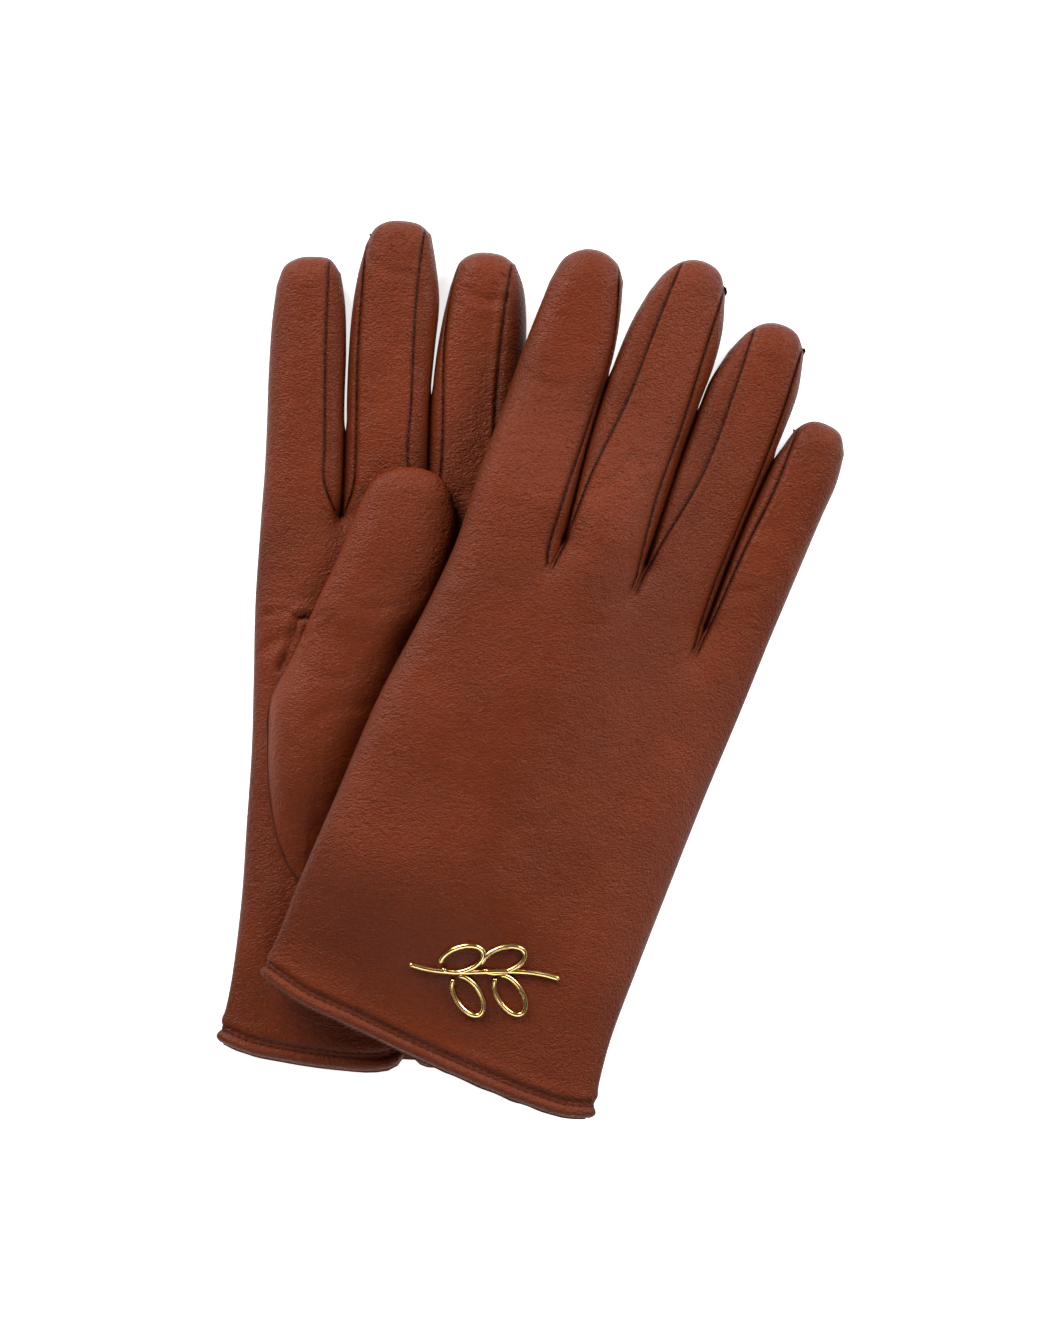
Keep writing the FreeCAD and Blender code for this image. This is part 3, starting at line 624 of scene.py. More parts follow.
def seam_relief(strip):
    """Groove, lips and side bulge of the two seams of a finger strip (mm), and the painted shade in their
    grooves and on the side strips.
    """
    across = strip["across"]
    width = strip["width"][:, None]
    along = strip["plan"][..., 1]
    relief = np.zeros_like(across)
    shade = np.zeros_like(across)
    for side in (0, 1):
        inset = strip["inset"][side][:, None]
        fade = strip["fade"][side][:, None]
        place = across if side == 0 else width - across
        d = place - inset
        pucker = PUCKER * np.sin(2.0 * np.pi * along / STITCH_PITCH)
        relief -= GROOVE_DEPTH * fade * np.exp(-(d / GROOVE_HALF) ** 2)
        relief += (RIDGE_HEIGHT + pucker) * fade * np.exp(-((d - RIDGE_PLACE) / RIDGE_HALF) ** 2)
        arch = np.where(place < inset, np.sin(np.pi * np.clip(place / inset, 0, 1)), 0.0)
        relief += SIDE_BULGE * fade * arch
        # Painted shade in the groove, partly the dark seam line itself, and painted shade over the side
        # strip.
        shade += fade * np.exp(-(d / GROOVE_SHADE) ** 2)
        shade += SIDE_SHADE * fade * smooth((inset - place) / 0.8)
    return relief, np.clip(shade, 0, 1)


# Hem (mm): height, place and half width of its bead, groove and swell; its stitch lines; its curled edge
HEM_WAVES = ((0.60, 1.6, 1.15), (-0.35, 4.0, 1.0), (0.35, 6.6, 1.4))
HEM_LINE_DEPTH = 0.22
HEM_LINE_HALF = 0.3
HEM_CURL = 0.9
HEM_CURL_REACH = 1.1


def hem_relief(c):
    """Rolled edge, groove with its stitches and the swell beyond, by distance from the cuff edge (mm)."""
    waves = sum(height * np.exp(-((c - place) / half) ** 2) for height, place, half in HEM_WAVES)
    lines = sum(-HEM_LINE_DEPTH * np.exp(-((c - row) / HEM_LINE_HALF) ** 2) for row in HEM_STITCH_ROWS)
    curl = -HEM_CURL * np.clip(1.0 - c / HEM_CURL_REACH, 0, 1) ** 2
    return waves + lines + curl


# ---------------------------------------------------------------- materials

# How dark the painted shade and the seam lines are beside the leather, and how far the dye varies either way
SHADE_AND_SEAM_DARKNESS = 0.16
MOTTLE = 0.12


def linear(r, g, b):
    """Scene colour of a display colour given as three numbers from 0 to 255."""
    return tuple(((c / 255) / 12.92 if c / 255 < 0.04045 else ((c / 255 + 0.055) / 1.055) ** 2.4)
                 for c in (r, g, b)) + (1.0,)


def scaled(color, factor):
    return tuple(c * factor for c in color[:3]) + (1.0,)


def new_material(name):
    material = bpy.data.materials.new(name)
    material.use_nodes = True
    tree = material.node_tree
    return material, tree, tree.nodes["Principled BSDF"]


def add(tree, kind, **values):
    node = tree.nodes.new(kind)
    for key, value in values.items():
        if key in node.inputs:
            node.inputs[key].default_value = value
        else:
            setattr(node, key, value)
    return node


def ramp(tree, source, stops):
    node = tree.nodes.new("ShaderNodeValToRGB")
    elements = node.color_ramp.elements
    elements[0].position, elements[0].color = stops[0]
    elements[1].position, elements[1].color = stops[-1]
    for position, color in stops[1:-1]:
        element = elements.new(position)
        element.color = color
    tree.links.new(source, node.inputs["Fac"])
    return node.outputs["Color"]


def leather_material(name, tone, grain=1.0):
    """Fine nappa: pebbled grain, pores, mottled dye, and painted shade from the shade attribute."""
    material, tree, bsdf = new_material(name)
    link = tree.links.new
    where = add(tree, "ShaderNodeTexCoord").outputs["Object"]
    warp = add(tree, "ShaderNodeTexNoise", Scale=260.0, Detail=2.0)
    link(where, warp.inputs["Vector"])
    shift = add(tree, "ShaderNodeVectorMath", operation="MULTIPLY_ADD")
    shift.inputs[1].default_value = (0.0009, 0.0009, 0.0009)
    link(warp.outputs["Color"], shift.inputs[0])
    link(where, shift.inputs[2])
    stretch = add(tree, "ShaderNodeVectorMath", operation="MULTIPLY")
    stretch.inputs[1].default_value = (1.0, 1.55, 1.2)
    link(shift.outputs["Vector"], stretch.inputs[0])
    cells = add(tree, "ShaderNodeTexVoronoi", Scale=1350.0, feature="SMOOTH_F1", Smoothness=0.35)
    link(stretch.outputs["Vector"], cells.inputs["Vector"])
    fine = add(tree, "ShaderNodeTexNoise", Scale=2600.0, Detail=4.0, Roughness=0.6)
    link(where, fine.inputs["Vector"])
    lay = add(tree, "ShaderNodeMapping")
    lay.inputs["Rotation"].default_value = (0.0, 0.0, 0.28)
    lay.inputs["Scale"].default_value = (0.8, 1.15, 0.95)
    link(where, lay.inputs["Vector"])
    slow = add(tree, "ShaderNodeTexNoise", Scale=820.0, Detail=2.5, Roughness=0.5, Distortion=0.9)
    link(lay.outputs["Vector"], slow.inputs["Vector"])
    area = add(tree, "ShaderNodeTexNoise", Scale=22.0, Detail=2.0)
    link(where, area.inputs["Vector"])
    amount = ramp(tree, area.outputs["Fac"], [(0.3, (0.45, 0.45, 0.45, 1)), (0.7, (1, 1, 1, 1))])
    bump_cells = add(tree, "ShaderNodeBump", Distance=0.00030 * grain)
    link(cells.outputs["Distance"], bump_cells.inputs["Height"])
    link(amount, bump_cells.inputs["Strength"])
    bump_cells.invert = True
    bump_slow = add(tree, "ShaderNodeBump", Distance=0.00062 * grain)
    link(amount, bump_slow.inputs["Strength"])
    link(slow.outputs["Fac"], bump_slow.inputs["Height"])
    link(bump_cells.outputs["Normal"], bump_slow.inputs["Normal"])
    bump_fine = add(tree, "ShaderNodeBump", Strength=0.5, Distance=0.00012 * grain)
    link(fine.outputs["Fac"], bump_fine.inputs["Height"])
    link(bump_slow.outputs["Normal"], bump_fine.inputs["Normal"])
    link(bump_fine.outputs["Normal"], bsdf.inputs["Normal"])
    mottle = add(tree, "ShaderNodeTexNoise", Scale=34.0, Detail=5.0, Roughness=0.55)
    link(where, mottle.inputs["Vector"])
    dye = [(0.32, scaled(tone, 1.0 - MOTTLE)), (0.5, tone), (0.68, scaled(tone, 1.0 + MOTTLE))]
    color = ramp(tree, mottle.outputs["Fac"], dye)
    pits = ramp(tree, cells.outputs["Distance"], [(0.25, (1, 1, 1, 1)), (0.75, (0.72, 0.68, 0.66, 1))])
    pitted = add(tree, "ShaderNodeMixRGB", blend_type="MULTIPLY", Fac=0.55)
    link(color, pitted.inputs["Color1"])
    link(pits, pitted.inputs["Color2"])
    # Painted shade: the shade attribute darkens the leather in the seam grooves, on the side strips, near the
    # outline and on the underside.
    attribute = add(tree, "ShaderNodeAttribute", attribute_name="shade")
    darker = add(tree, "ShaderNodeMixRGB", blend_type="MIX", Color2=scaled(tone, SHADE_AND_SEAM_DARKNESS))
    link(attribute.outputs["Fac"], darker.inputs["Fac"])
    link(pitted.outputs["Color"], darker.inputs["Color1"])
    link(darker.outputs["Color"], bsdf.inputs["Base Color"])
    gloss = ramp(tree, area.outputs["Fac"], [(0.3, (0.36, 0.36, 0.36, 1)), (0.7, (0.46, 0.46, 0.46, 1))])
    link(gloss, bsdf.inputs["Roughness"])
    bsdf.inputs["Specular IOR Level"].default_value = 0.13
    return material


def thread_material():
    material, tree, bsdf = new_material("thread")
    where = add(tree, "ShaderNodeTexCoord").outputs["Object"]
    twist = add(tree, "ShaderNodeTexWave", Scale=900.0, Distortion=1.5)
    tree.links.new(where, twist.inputs["Vector"])
    color = ramp(tree, twist.outputs["Fac"], [(0.2, linear(52, 19, 8)), (0.8, linear(92, 38, 19))])
    tree.links.new(color, bsdf.inputs["Base Color"])
    bump = add(tree, "ShaderNodeBump", Strength=0.5, Distance=0.0001)
    tree.links.new(twist.outputs["Fac"], bump.inputs["Height"])
    tree.links.new(bump.outputs["Normal"], bsdf.inputs["Normal"])
    bsdf.inputs["Roughness"].default_value = 0.65
    bsdf.inputs["Specular IOR Level"].default_value = 0.2
    return material


def lining_material():
    material, tree, bsdf = new_material("lining_knit")
    where = add(tree, "ShaderNodeTexCoord").outputs["Object"]
    knit = add(tree, "ShaderNodeTexWave", Scale=620.0, Distortion=0.6, bands_direction="X")
    rows = add(tree, "ShaderNodeTexWave", Scale=480.0, Distortion=0.6, bands_direction="Y")
    both = add(tree, "ShaderNodeMath", operation="MULTIPLY")
    for wave, socket in ((knit, 0), (rows, 1)):
        tree.links.new(where, wave.inputs["Vector"])
        tree.links.new(wave.outputs["Fac"], both.inputs[socket])
    color = ramp(tree, both.outputs["Value"], [(0.0, linear(96, 60, 42)), (0.8, linear(158, 112, 84))])
    tree.links.new(color, bsdf.inputs["Base Color"])
    bump = add(tree, "ShaderNodeBump", Strength=0.7, Distance=0.0003)
    tree.links.new(both.outputs["Value"], bump.inputs["Height"])
    tree.links.new(bump.outputs["Normal"], bsdf.inputs["Normal"])
    bsdf.inputs["Roughness"].default_value = 0.9
    bsdf.inputs["Sheen Weight"].default_value = 0.35
    return material


def gold_material():
    material, tree, bsdf = new_material("polished_gold")
    where = add(tree, "ShaderNodeTexCoord").outputs["Object"]
    haze = add(tree, "ShaderNodeTexNoise", Scale=90.0, Detail=2.0)
    tree.links.new(where, haze.inputs["Vector"])
    rough = ramp(tree, haze.outputs["Fac"], [(0.35, (0.2, 0.2, 0.2, 1)), (0.7, (0.28, 0.28, 0.28, 1))])
    tree.links.new(rough, bsdf.inputs["Roughness"])
    color = ramp(tree, haze.outputs["Fac"], [(0.3, linear(222, 186, 118)), (0.7, linear(238, 204, 136))])
    tree.links.new(color, bsdf.inputs["Base Color"])
    bsdf.inputs["Metallic"].default_value = 1.0
    return material


TONE = linear(105, 43, 18)
LEATHER_MAT = leather_material("nappa_leather", TONE)
HEM_MAT = leather_material("hem_leather", linear(104, 45, 22), grain=0.8)
THREAD = thread_material()
KNIT = lining_material()
GOLD = gold_material()


# ---------------------------------------------------------------- meshes

def make_object(name, vertices, faces, material, shade=None, normals=None):
    mesh = bpy.data.meshes.new(name)
    mesh.from_pydata([tuple(v) for v in vertices], [], faces)
    mesh.polygons.foreach_set("use_smooth", [True] * len(mesh.polygons))
    if shade is not None:
        attribute = mesh.attributes.new("shade", "FLOAT", "POINT")
        attribute.data.foreach_set("value", np.asarray(shade, np.float32))
    mesh.materials.append(material)
    mesh.update()
    if normals is not None:
        mesh.normals_split_custom_set_from_vertices([tuple(n) for n in normals])
    obj = bpy.data.objects.new(name, mesh)
    bpy.context.scene.collection.objects.link(obj)
    return obj


def unit(v):
    return v / np.maximum(np.linalg.norm(v, axis=-1, keepdims=True), 1e-12)


def weld_index(points):
    """For every point, the number of its place, so that points on each other share one."""
    keys = np.round(points / 2e-7).astype(np.int64)
    _, first, index = np.unique(keys, axis=0, return_index=True, return_inverse=True)
    return first, index.reshape(-1)


def welded(faces, index):
    """Faces by place number, without the ones that collapse or repeat."""
    kept = []
    seen = set()
    for face in faces:
        loop = list(dict.fromkeys(int(v) for v in index[list(face)]))
        key = tuple(sorted(loop))
        if len(loop) >= 3 and key not in seen:
            kept.append(loop)
            seen.add(key)
    return kept


def vertex_normals(points, faces, index):
    """Area-weighted normals, shared by all points that lie on each other."""
    total = np.zeros((index.max() + 1, 3))
    quads = np.array(faces)
    diagonal = np.cross(points[quads[:, 2]] - points[quads[:, 0]], points[quads[:, 3]] - points[quads[:, 1]])
    for corner in range(4):
        np.add.at(total, index[quads[:, corner]], diagonal)
    return unit(total)[index]


def grid_faces(rows, columns, start, flip=False):
    faces = []
    for r in range(rows - 1):
        for c in range(columns - 1):
            a = start + r * columns + c
            quad = [a, a + 1, a + columns + 1, a + columns]
            faces.append(quad[::-1] if flip else quad)
    return faces


def skin_object(name, points, faces, normals, shade, material, thickness):
    """A sheet of leather or cloth with its thickness laid inwards and its open rims closed."""
    first, index = weld_index(points)
    outer = welded(faces, index)
    points, normals, shade = points[first], normals[first], shade[first]
    count = len(points)
    inner = [[v + count for v in face[::-1]] for face in outer]
    edges = {}
    for face in outer:
        for a, b in zip(face, face[1:] + face[:1]):
            edges[(a, b)] = True
    rim = [[b, a, a + count, b + count] for a, b in edges if (b, a) not in edges]
    everything = np.vstack([points, points - normals * thickness])
    return make_object(name, everything, outer + inner + rim, material, np.r_[shade, shade],
                       np.vstack([normals, -normals]))


def tube(path, radius, sides=8):
    """Vertices and faces of a round rod with domed ends along a path."""
    path = np.asarray(path, float)
    tangent = unit(np.gradient(path, axis=0))
    side = unit(np.cross(tangent, (0.0, 0.0, 1.0)) + 1e-9)
    up = np.cross(side, tangent)
    angle = np.linspace(0, 2 * np.pi, sides, endpoint=False)
    ring = side[:, None] * np.cos(angle)[None, :, None] + up[:, None] * np.sin(angle)[None, :, None]
    points = path[:, None] + ring * radius
    cap = ROD_END * radius
    first = path[0] - tangent[0] * cap + ring[0] * cap
    last = path[-1] + tangent[-1] * cap + ring[-1] * cap
    points = np.concatenate([first[None], points, last[None]])
    rows = len(points)
    faces = []
    for r in range(rows - 1):
        for c in range(sides):
            d = (c + 1) % sides
            faces.append([r * sides + c, (r + 1) * sides + c, (r + 1) * sides + d, r * sides + d])
    faces.append(list(range(sides)))
    faces.append([(rows - 1) * sides + c for c in range(sides)][::-1])
    return points.reshape(-1, 3), faces


def rods_object(name, paths, radius, material, sides=8):
    vertices, faces = [], []
    for path in paths:
        points, loops = tube(path, radius, sides)
        faces += [[v + len(vertices) for v in loop] for loop in loops]
        vertices += list(points)
    return make_object(name, vertices, faces, material)


def stitch_paths(line, normals, pitch, share, lift):
    """Short arched threads lying end to end along a line of surface points."""
    steps = np.r_[0, np.cumsum(np.linalg.norm(np.diff(line, axis=0), axis=1))]
    paths = []
    for k in range(int(steps[-1] / pitch)):
        spots = (k + 0.5 + share * np.linspace(-0.5, 0.5, 5)) * pitch
        here = np.stack([np.interp(spots, steps, line[:, a]) for a in range(3)], axis=1)
        up = np.stack([np.interp(spots, steps, normals[:, a]) for a in range(3)], axis=1)
        arch = lift * np.array([-0.8, 0.55, 1.0, 0.55, -0.8])
        paths.append(here + up * arch[:, None])
    return paths


class Glove:
    """One glove: its two sheets as grids of points, shared by all its pieces."""

    def __init__(self, plan):
        self.glove = plan
        self.name = plan["name"]
        self.top = glove_strips(plan, "cuff_top")
        self.low = glove_strips(plan, "cuff_low")
        self.distance = Distance(outline_points(self.top))
        for key in FINGERS:
            strip = self.top[key]
            relief, shade = seam_relief(strip)
            d = self.distance(strip["plan"])
            height = top_height(plan, strip["plan"], self.distance) + relief * smooth(d / 1.4)
            strip["xyz"] = to_frame(plan, strip["plan"][..., 0], strip["plan"][..., 1], height)
            # Painted shade in the seam grooves and on the side strips, partly the dark seam lines, and
            # painted shade running in from the outline.
            strip["shade"] = np.maximum(shade * 0.9, 0.5 * np.exp(-d / 1.6))
            strip = self.low[key]
            height = low_height(strip["plan"], self.distance)
            strip["xyz"] = to_frame(plan, strip["plan"][..., 0], strip["plan"][..., 1], height)
            # Painted shade over the whole lower sheet.
            strip["shade"] = np.full(height.shape, 0.5)
        self.find_normals()
        self.swell_hem()
        self.find_normals()

    def blocks(self):
        for sheet, flip in ((self.top, False), (self.low, True)):
            for key in FINGERS:
                yield sheet[key], flip

    def find_normals(self):
        points, faces = [], []
        for strip, flip in self.blocks():
            rows, columns = strip["xyz"].shape[:2]
            faces += grid_faces(rows, columns, len(points), flip)
            points += list(strip["xyz"].reshape(-1, 3))
        points = np.array(points)
        _, index = weld_index(points)
        normals = vertex_normals(points, faces, index)
        start = 0
        for strip, _ in self.blocks():
            size = strip["xyz"].shape
            strip["normal"] = normals[start:start + size[0] * size[1]].reshape(size)
            start += size[0] * size[1]

    def swell_hem(self):
        """Raises the rolled edge and sinks the stitched groove beside it."""
        for strip, _ in self.blocks():
            strip["bare"] = strip["xyz"].copy()
            rows = len(HEM_STEPS)
            c = np.array(HEM_STEPS)
            strip["xyz"][:rows] += strip["normal"][:rows] * (hem_relief(c)[:, None, None] * MM)
            strip["bare_normal"] = strip["normal"].copy()
            # Painted shade along the two stitch grooves of the hem.
            for row in HEM_STITCH_ROWS:
                strip["shade"][:rows] += 0.6 * np.exp(-((c - row) / HEM_LINE_HALF) ** 2)[:, None]
            strip["shade"] = np.clip(strip["shade"], 0, 1)

    def distance_along(self, key):
        """Distance of each row from the finger's root, along its middle line."""
        (rx, ry), (tx, ty) = self.glove["joint_plan"][key][:2]
        axis = np.array([tx - rx, ty - ry])
        axis /= np.linalg.norm(axis)
        middle = self.top[key]["plan"][:, self.top[key]["plan"].shape[1] // 2]
        s = (middle - np.array([rx, ry])) @ axis
        s[:HAND_ROWS + 1] = np.minimum(s[:HAND_ROWS + 1], 0.0)
        return s

    def row_at(self, key, distance):
        return int(np.argmax(self.distance_along(key) >= distance))

    def skin(self, name, spans):
        """Leather over the given row ranges of the strips, both sheets, joined at their sides."""
        points, faces, normals, shade = [], [], [], []
        for key, (first, last) in spans.items():
            for sheet, flip in ((self.top, False), (self.low, True)):
                block = sheet[key]["xyz"][first:last + 1]
                faces += grid_faces(block.shape[0], block.shape[1], len(points), flip)
                points += list(block.reshape(-1, 3))
                normals += list(sheet[key]["normal"][first:last + 1].reshape(-1, 3))
                shade += list(sheet[key]["shade"][first:last + 1].reshape(-1))
        return skin_object(name, np.array(points), faces, np.array(normals), np.array(shade), LEATHER_MAT,
                           LEATHER * MM)

    def seam_stitches(self, name, key, first, last):
        """Threads showing along the seams of a finger between two rows."""
        strip = self.top[key]
        paths = []
        for side, column in ((0, SIDE_COLUMNS), (1, SIDE_COLUMNS + PANEL_COLUMNS)):
            depth = self.distance(strip["plan"][:, column])
            shown = (strip["fade"][side] > SHOWN_SEAM) & (depth > STITCH_MARGIN)
            start = int(np.argmax(shown))
            end = start + int(np.argmin(np.r_[shown[start:], False]))
            rows = list(range(max(first, start), min(last + 1, end)))
            if len(rows) > 3:
                line = strip["xyz"][rows, column]
                paths += stitch_paths(line, strip["normal"][rows, column], STITCH_PITCH * MM, 0.72, 0.14 * MM)
        return rods_object(name, paths, THREAD_RADIUS * MM, THREAD, 6) if paths else None

    def build_finger(self, key):
        """The two lengths of a finger, cut below its lower fold and midway between its two folds; returns the
        hand's last row.
        """
        name = self.name
        _, _, fold, bend = self.glove["joint_plan"][key]
        cut = self.row_at(key, fold - 8.0)
        middle = self.row_at(key, (fold + bend) / 2)
        last = len(self.top[key]["plan"]) - 1
        lengths = (("base", cut, middle, f"{name}_hand", f"{name}_{key}_base", fold),
                   ("tip", middle, last, f"{name}_{key}_base", f"{name}_{key}_tip", bend))
        for label, first, end, a, b, place in lengths:
            piece = self.skin(f"{name}_{key}_{label}_skin", {key: (first, end)})
            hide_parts(f"{name}_{key}_{label}_leather", f"{name}_{key}_{label}_fourchettes")
            threads = self.seam_stitches(f"{name}_{key}_{label}_thread", key, first, end)
            for obj in (piece, threads):
                if obj:
                    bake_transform(obj)
        return cut

    def build_hand(self):
        name = self.name
        spans = {}
        for key in FINGERS:
            cut = self.build_finger(key)
            spans[key] = (HEM_ROWS, cut)
            threads = self.seam_stitches(f"{name}_{key}_root_thread", key, HEM_ROWS, cut)
            if threads:
                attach(threads, f"{name}_hand")
        hand = self.skin(f"{name}_hand_skin", spans)
        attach(hand, f"{name}_hand")
        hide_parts(f"{name}_back_panel", f"{name}_palm_panel", f"{name}_fork_roots")

    def round_cuff(self, rows, what):
        """Values round the whole cuff for some rows: the upper sheet across, then the lower one back."""
        upper = [self.top[key][what][rows][:, :-1] for key in FINGERS]
        lower = [self.low[key][what][rows][:, ::-1][:, :-1] for key in FINGERS[::-1]]
        joined = np.concatenate(upper + lower, axis=1)
        return np.concatenate([joined, joined[:, :1]], axis=1)

    def cuff_line(self, c, point, normal):
        """Points and normals round the cuff at a distance from its edge."""
        row = np.interp(c, HEM_STEPS, range(len(HEM_STEPS)))
        low = min(int(row), len(HEM_STEPS) - 2)
        pair = [low, low + 1]
        line = self.round_cuff(pair, point)
        up = self.round_cuff(pair, normal)
        return mix(line[0], line[1], row - low), unit(mix(up[0], up[1], row - low))

    def build_hem(self):
        """The turned edge: out over the bead and back inside, all round the cuff."""
        outside = self.round_cuff(list(range(HEM_ROWS + 1)), "xyz")[::-1]
        shade = self.round_cuff(list(range(HEM_ROWS + 1)), "shade")[::-1]
        inside = []
        for c, depth in LIP:
            line, normal = self.cuff_line(c, "bare", "bare_normal")
            inside.append(line - normal * depth * MM)
        grid = np.concatenate([outside, np.array(inside)])
        # Painted shade on the inside of the turned edge.
        shade = np.concatenate([shade, np.full((len(LIP), grid.shape[1]), 0.3)])
        points = grid.reshape(-1, 3)
        first, index = weld_index(points)
        loops = welded(grid_faces(grid.shape[0], grid.shape[1], 0, flip=True), index)
        hem = make_object(f"{self.name}_hem_roll", points[first], loops, HEM_MAT, shade.reshape(-1)[first])
        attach(hem, f"{self.name}_hand")
        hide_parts(f"{self.name}_hem")
        paths = []
        for c in HEM_STITCH_ROWS:
            paths += stitch_paths(*self.cuff_line(c, "xyz", "normal"), HEM_PITCH * MM, 0.7, 0.2 * MM)
        threads = rods_object(f"{self.name}_hem_thread", paths, THREAD_RADIUS * MM, THREAD, 6)
        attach(threads, f"{self.name}_hand")

    def build_lining(self):
        """Knitted lining, a thin tube inside the hand that just shows at the cuff."""
        rows = list(range(0, LINING_ROWS, 2))
        normals = self.round_cuff(rows, "bare_normal")
        grid = self.round_cuff(rows, "bare") - normals * LINING_DEPTH * MM
        out = grid[0] - unit(grid[1] - grid[0]) * LINING_OUT * MM
        grid = np.concatenate([out[None], grid])
        normals = np.concatenate([normals[:1], normals])
        faces = grid_faces(grid.shape[0], grid.shape[1], 0)
        points = grid.reshape(-1, 3)
        lining = skin_object(f"{self.name}_lining_knit", points, faces, normals.reshape(-1, 3),
                             np.zeros(len(points)), KNIT, LINING_THICKNESS * MM)
        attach(lining, f"{self.name}_hand")
        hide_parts(f"{self.name}_lining")


# ---------------------------------------------------------------- thumbs

THUMBS = {
    "left": {
        "left": [(-28.4, 44.6), (-32.6, 49.8), (-36.4, 57.5), (-40.0, 71.2), (-41.6, 85.2), (-41.8, 97.0),
                 (-38.3, 106.0), (-34.4, 116.0), (-30.9, 125.6), (-26.5, 137.3), (-23.6, 147.0),
                 (-21.0, 155.2)],
        "tip": [(-18.2, 160.4), (-13.0, 163.9), (-6.1, 165.0), (0.2, 163.0)],
        "right": [(4.0, 158.4), (5.6, 151.0), (4.8, 141.1), (1.0, 128.0), (-5.0, 108.0), (-12.0, 86.0),
                  (-18.0, 66.0),
                  (-23.0, 52.0), (-27.6, 44.2)],
        "root": ((-41.4, 85.0), (1.0, 0.0)),
        "bend": ((-17.5, 122.2), (0.08, 1.0)),
        "quirk": 112.0,
    },
    "right": {
        "left": [(-31.0, 50.0), (-36.0, 60.0), (-39.0, 72.0), (-38.8, 98.0), (-33.0, 120.0), (-26.6, 139.0)],
        "tip": [(-24.0, 144.6), (-19.6, 148.0), (-14.0, 149.4), (-9.0, 148.2)],
        "right": [(-5.6, 143.6), (-4.8, 136.0), (-6.4, 124.0), (-12.0, 98.0), (-20.0, 70.0), (-26.0, 55.0),
                  (-30.4, 49.6)],
        "root": ((-39.0, 84.0), (1.0, 0.0)),
        "bend": ((-20.1, 116.3), (0.02, 1.0)),
        "quirk": 100.0,
    },
}

# Thumbs (mm): height of the underside and rise of the top; where the thumb comes free of the hand, its edge,
# roundness (root, free part) and foot; mesh rows and columns and the share where the end rounds over;
# distance of the split below the bend, reach of each fold, and the seam of the gusset with the painted shade
# where the thumb comes up out of the palm
THUMB_LOW = 12.5
THUMB_RISE = 7.4
THUMB_FREE = 16.0
PALM_SINK = 0.35
THUMB_EDGE = 3.2
THUMB_ROUND = (13.0, 9.6)
THUMB_SIDE = 4.0
ROOT_POWER = 1.15
FOOT_START = 44.0
FOOT_LENGTH = 40.0
FOOT_RISE = 2.6
THUMB_LENGTH = 120.0
THUMB_ROWS = 110
THUMB_COLUMNS = 33
THUMB_END = 0.74
THUMB_SPLIT = 12.0
ROOT_REACH = (1.0, 14.0)
BEND_REACH = (-9.0, 9.0)
GUSSET_SEAM = 0.34
GUSSET_LIFT = 0.3
GUSSET_SKIP = 8
GUSSET_SHADE = 0.32
QUIRK_FADE = 12.0
THUMB_CREASES = [
    ([(-30.0, 92.0), (-22.0, 96.0), (-14.0, 97.0)], 0.35, 1.8),
    ([(-26.0, 128.0), (-18.0, 124.4), (-8.0, 125.6)], 0.35, 1.6),
    ([(-33.6, 108.0), (-28.0, 104.0), (-20.0, 104.6)], 0.30, 1.4),
]


def thumb_strip(data):
    """Plan grid of a thumb from the foot of its gusset to its tip."""
    side_l, tip, side_r = finger_outline(data)
    steps = np.r_[0.0, finger_steps(THUMB_LENGTH)]
    steps = np.interp(np.linspace(0, 1, THUMB_ROWS), np.linspace(0, 1, len(steps)), steps)
    left = even(side_l, 0, steps)
    right = even(side_r, 0, steps)
    plain = np.linspace(0, 1, THUMB_COLUMNS)
    f = 0.5 - 0.5 * np.cos(np.pi * plain)
    f = mix(f, plain, 0.35)
    plan = left[:, None] + (right - left)[:, None] * f[None, :, None]
    rise = smooth((steps - THUMB_END) / (1.0 - THUMB_END)) ** 1.2
    plan += (along_chord(tip, f) - plan[-1])[None] * rise[:, None, None]
    return plan


def thumb_heights(name, glove, data, plan):
    """Upper and lower sheet of the thumb above the floor of the glove that it lies on."""
    outline = Distance([np.vstack([plan[:, 0], plan[-1, 1:-1], plan[:, -1][::-1]])])
    d = outline(plan)
    free = smooth((plan[..., 1] - data["quirk"]) / THUMB_FREE)
    if name == "left":
        palm = top_height(glove, plan, PAIR[name].distance)
        base = mix(np.minimum(palm - PALM_SINK, THUMB_LOW), THUMB_LOW - LEATHER, free)
    else:
        base = np.full(d.shape, THUMB_LOW)
    edge = base + THUMB_EDGE * free
    foot = smooth((plan[..., 1] - FOOT_START) / FOOT_LENGTH)
    crown = base + mix(FOOT_RISE, THUMB_RISE, foot)
    swell = dome(d / mix(*THUMB_ROUND, free))
    top = edge + (crown - edge) * mix(swell ** ROOT_POWER, swell, free)
    folds = 0.34 * noise_field(plan[..., 0] / 12.0, plan[..., 1] / 17.0, 21)
    folds += 0.15 * noise_field(plan[..., 0] / 5.0, plan[..., 1] / 4.6, 22)
    if name == "left":
        for points, depth, half in THUMB_CREASES:
            near = Distance([spline(points, 30)])(plan)
            folds -= depth * np.exp(-(near / half) ** 2)
    top += folds * smooth(d / THUMB_SIDE)
    low = edge - (edge - base) * dome(d / THUMB_SIDE)
    over = top - palm if name == "left" else d
    return top, low, over


def thumb_to_frame(glove, plan, z):
    placed = plan @ glove["matrix"].T + glove["origin"]
    return np.concatenate([placed, (z + FLOOR)[..., None]], axis=-1) * MM


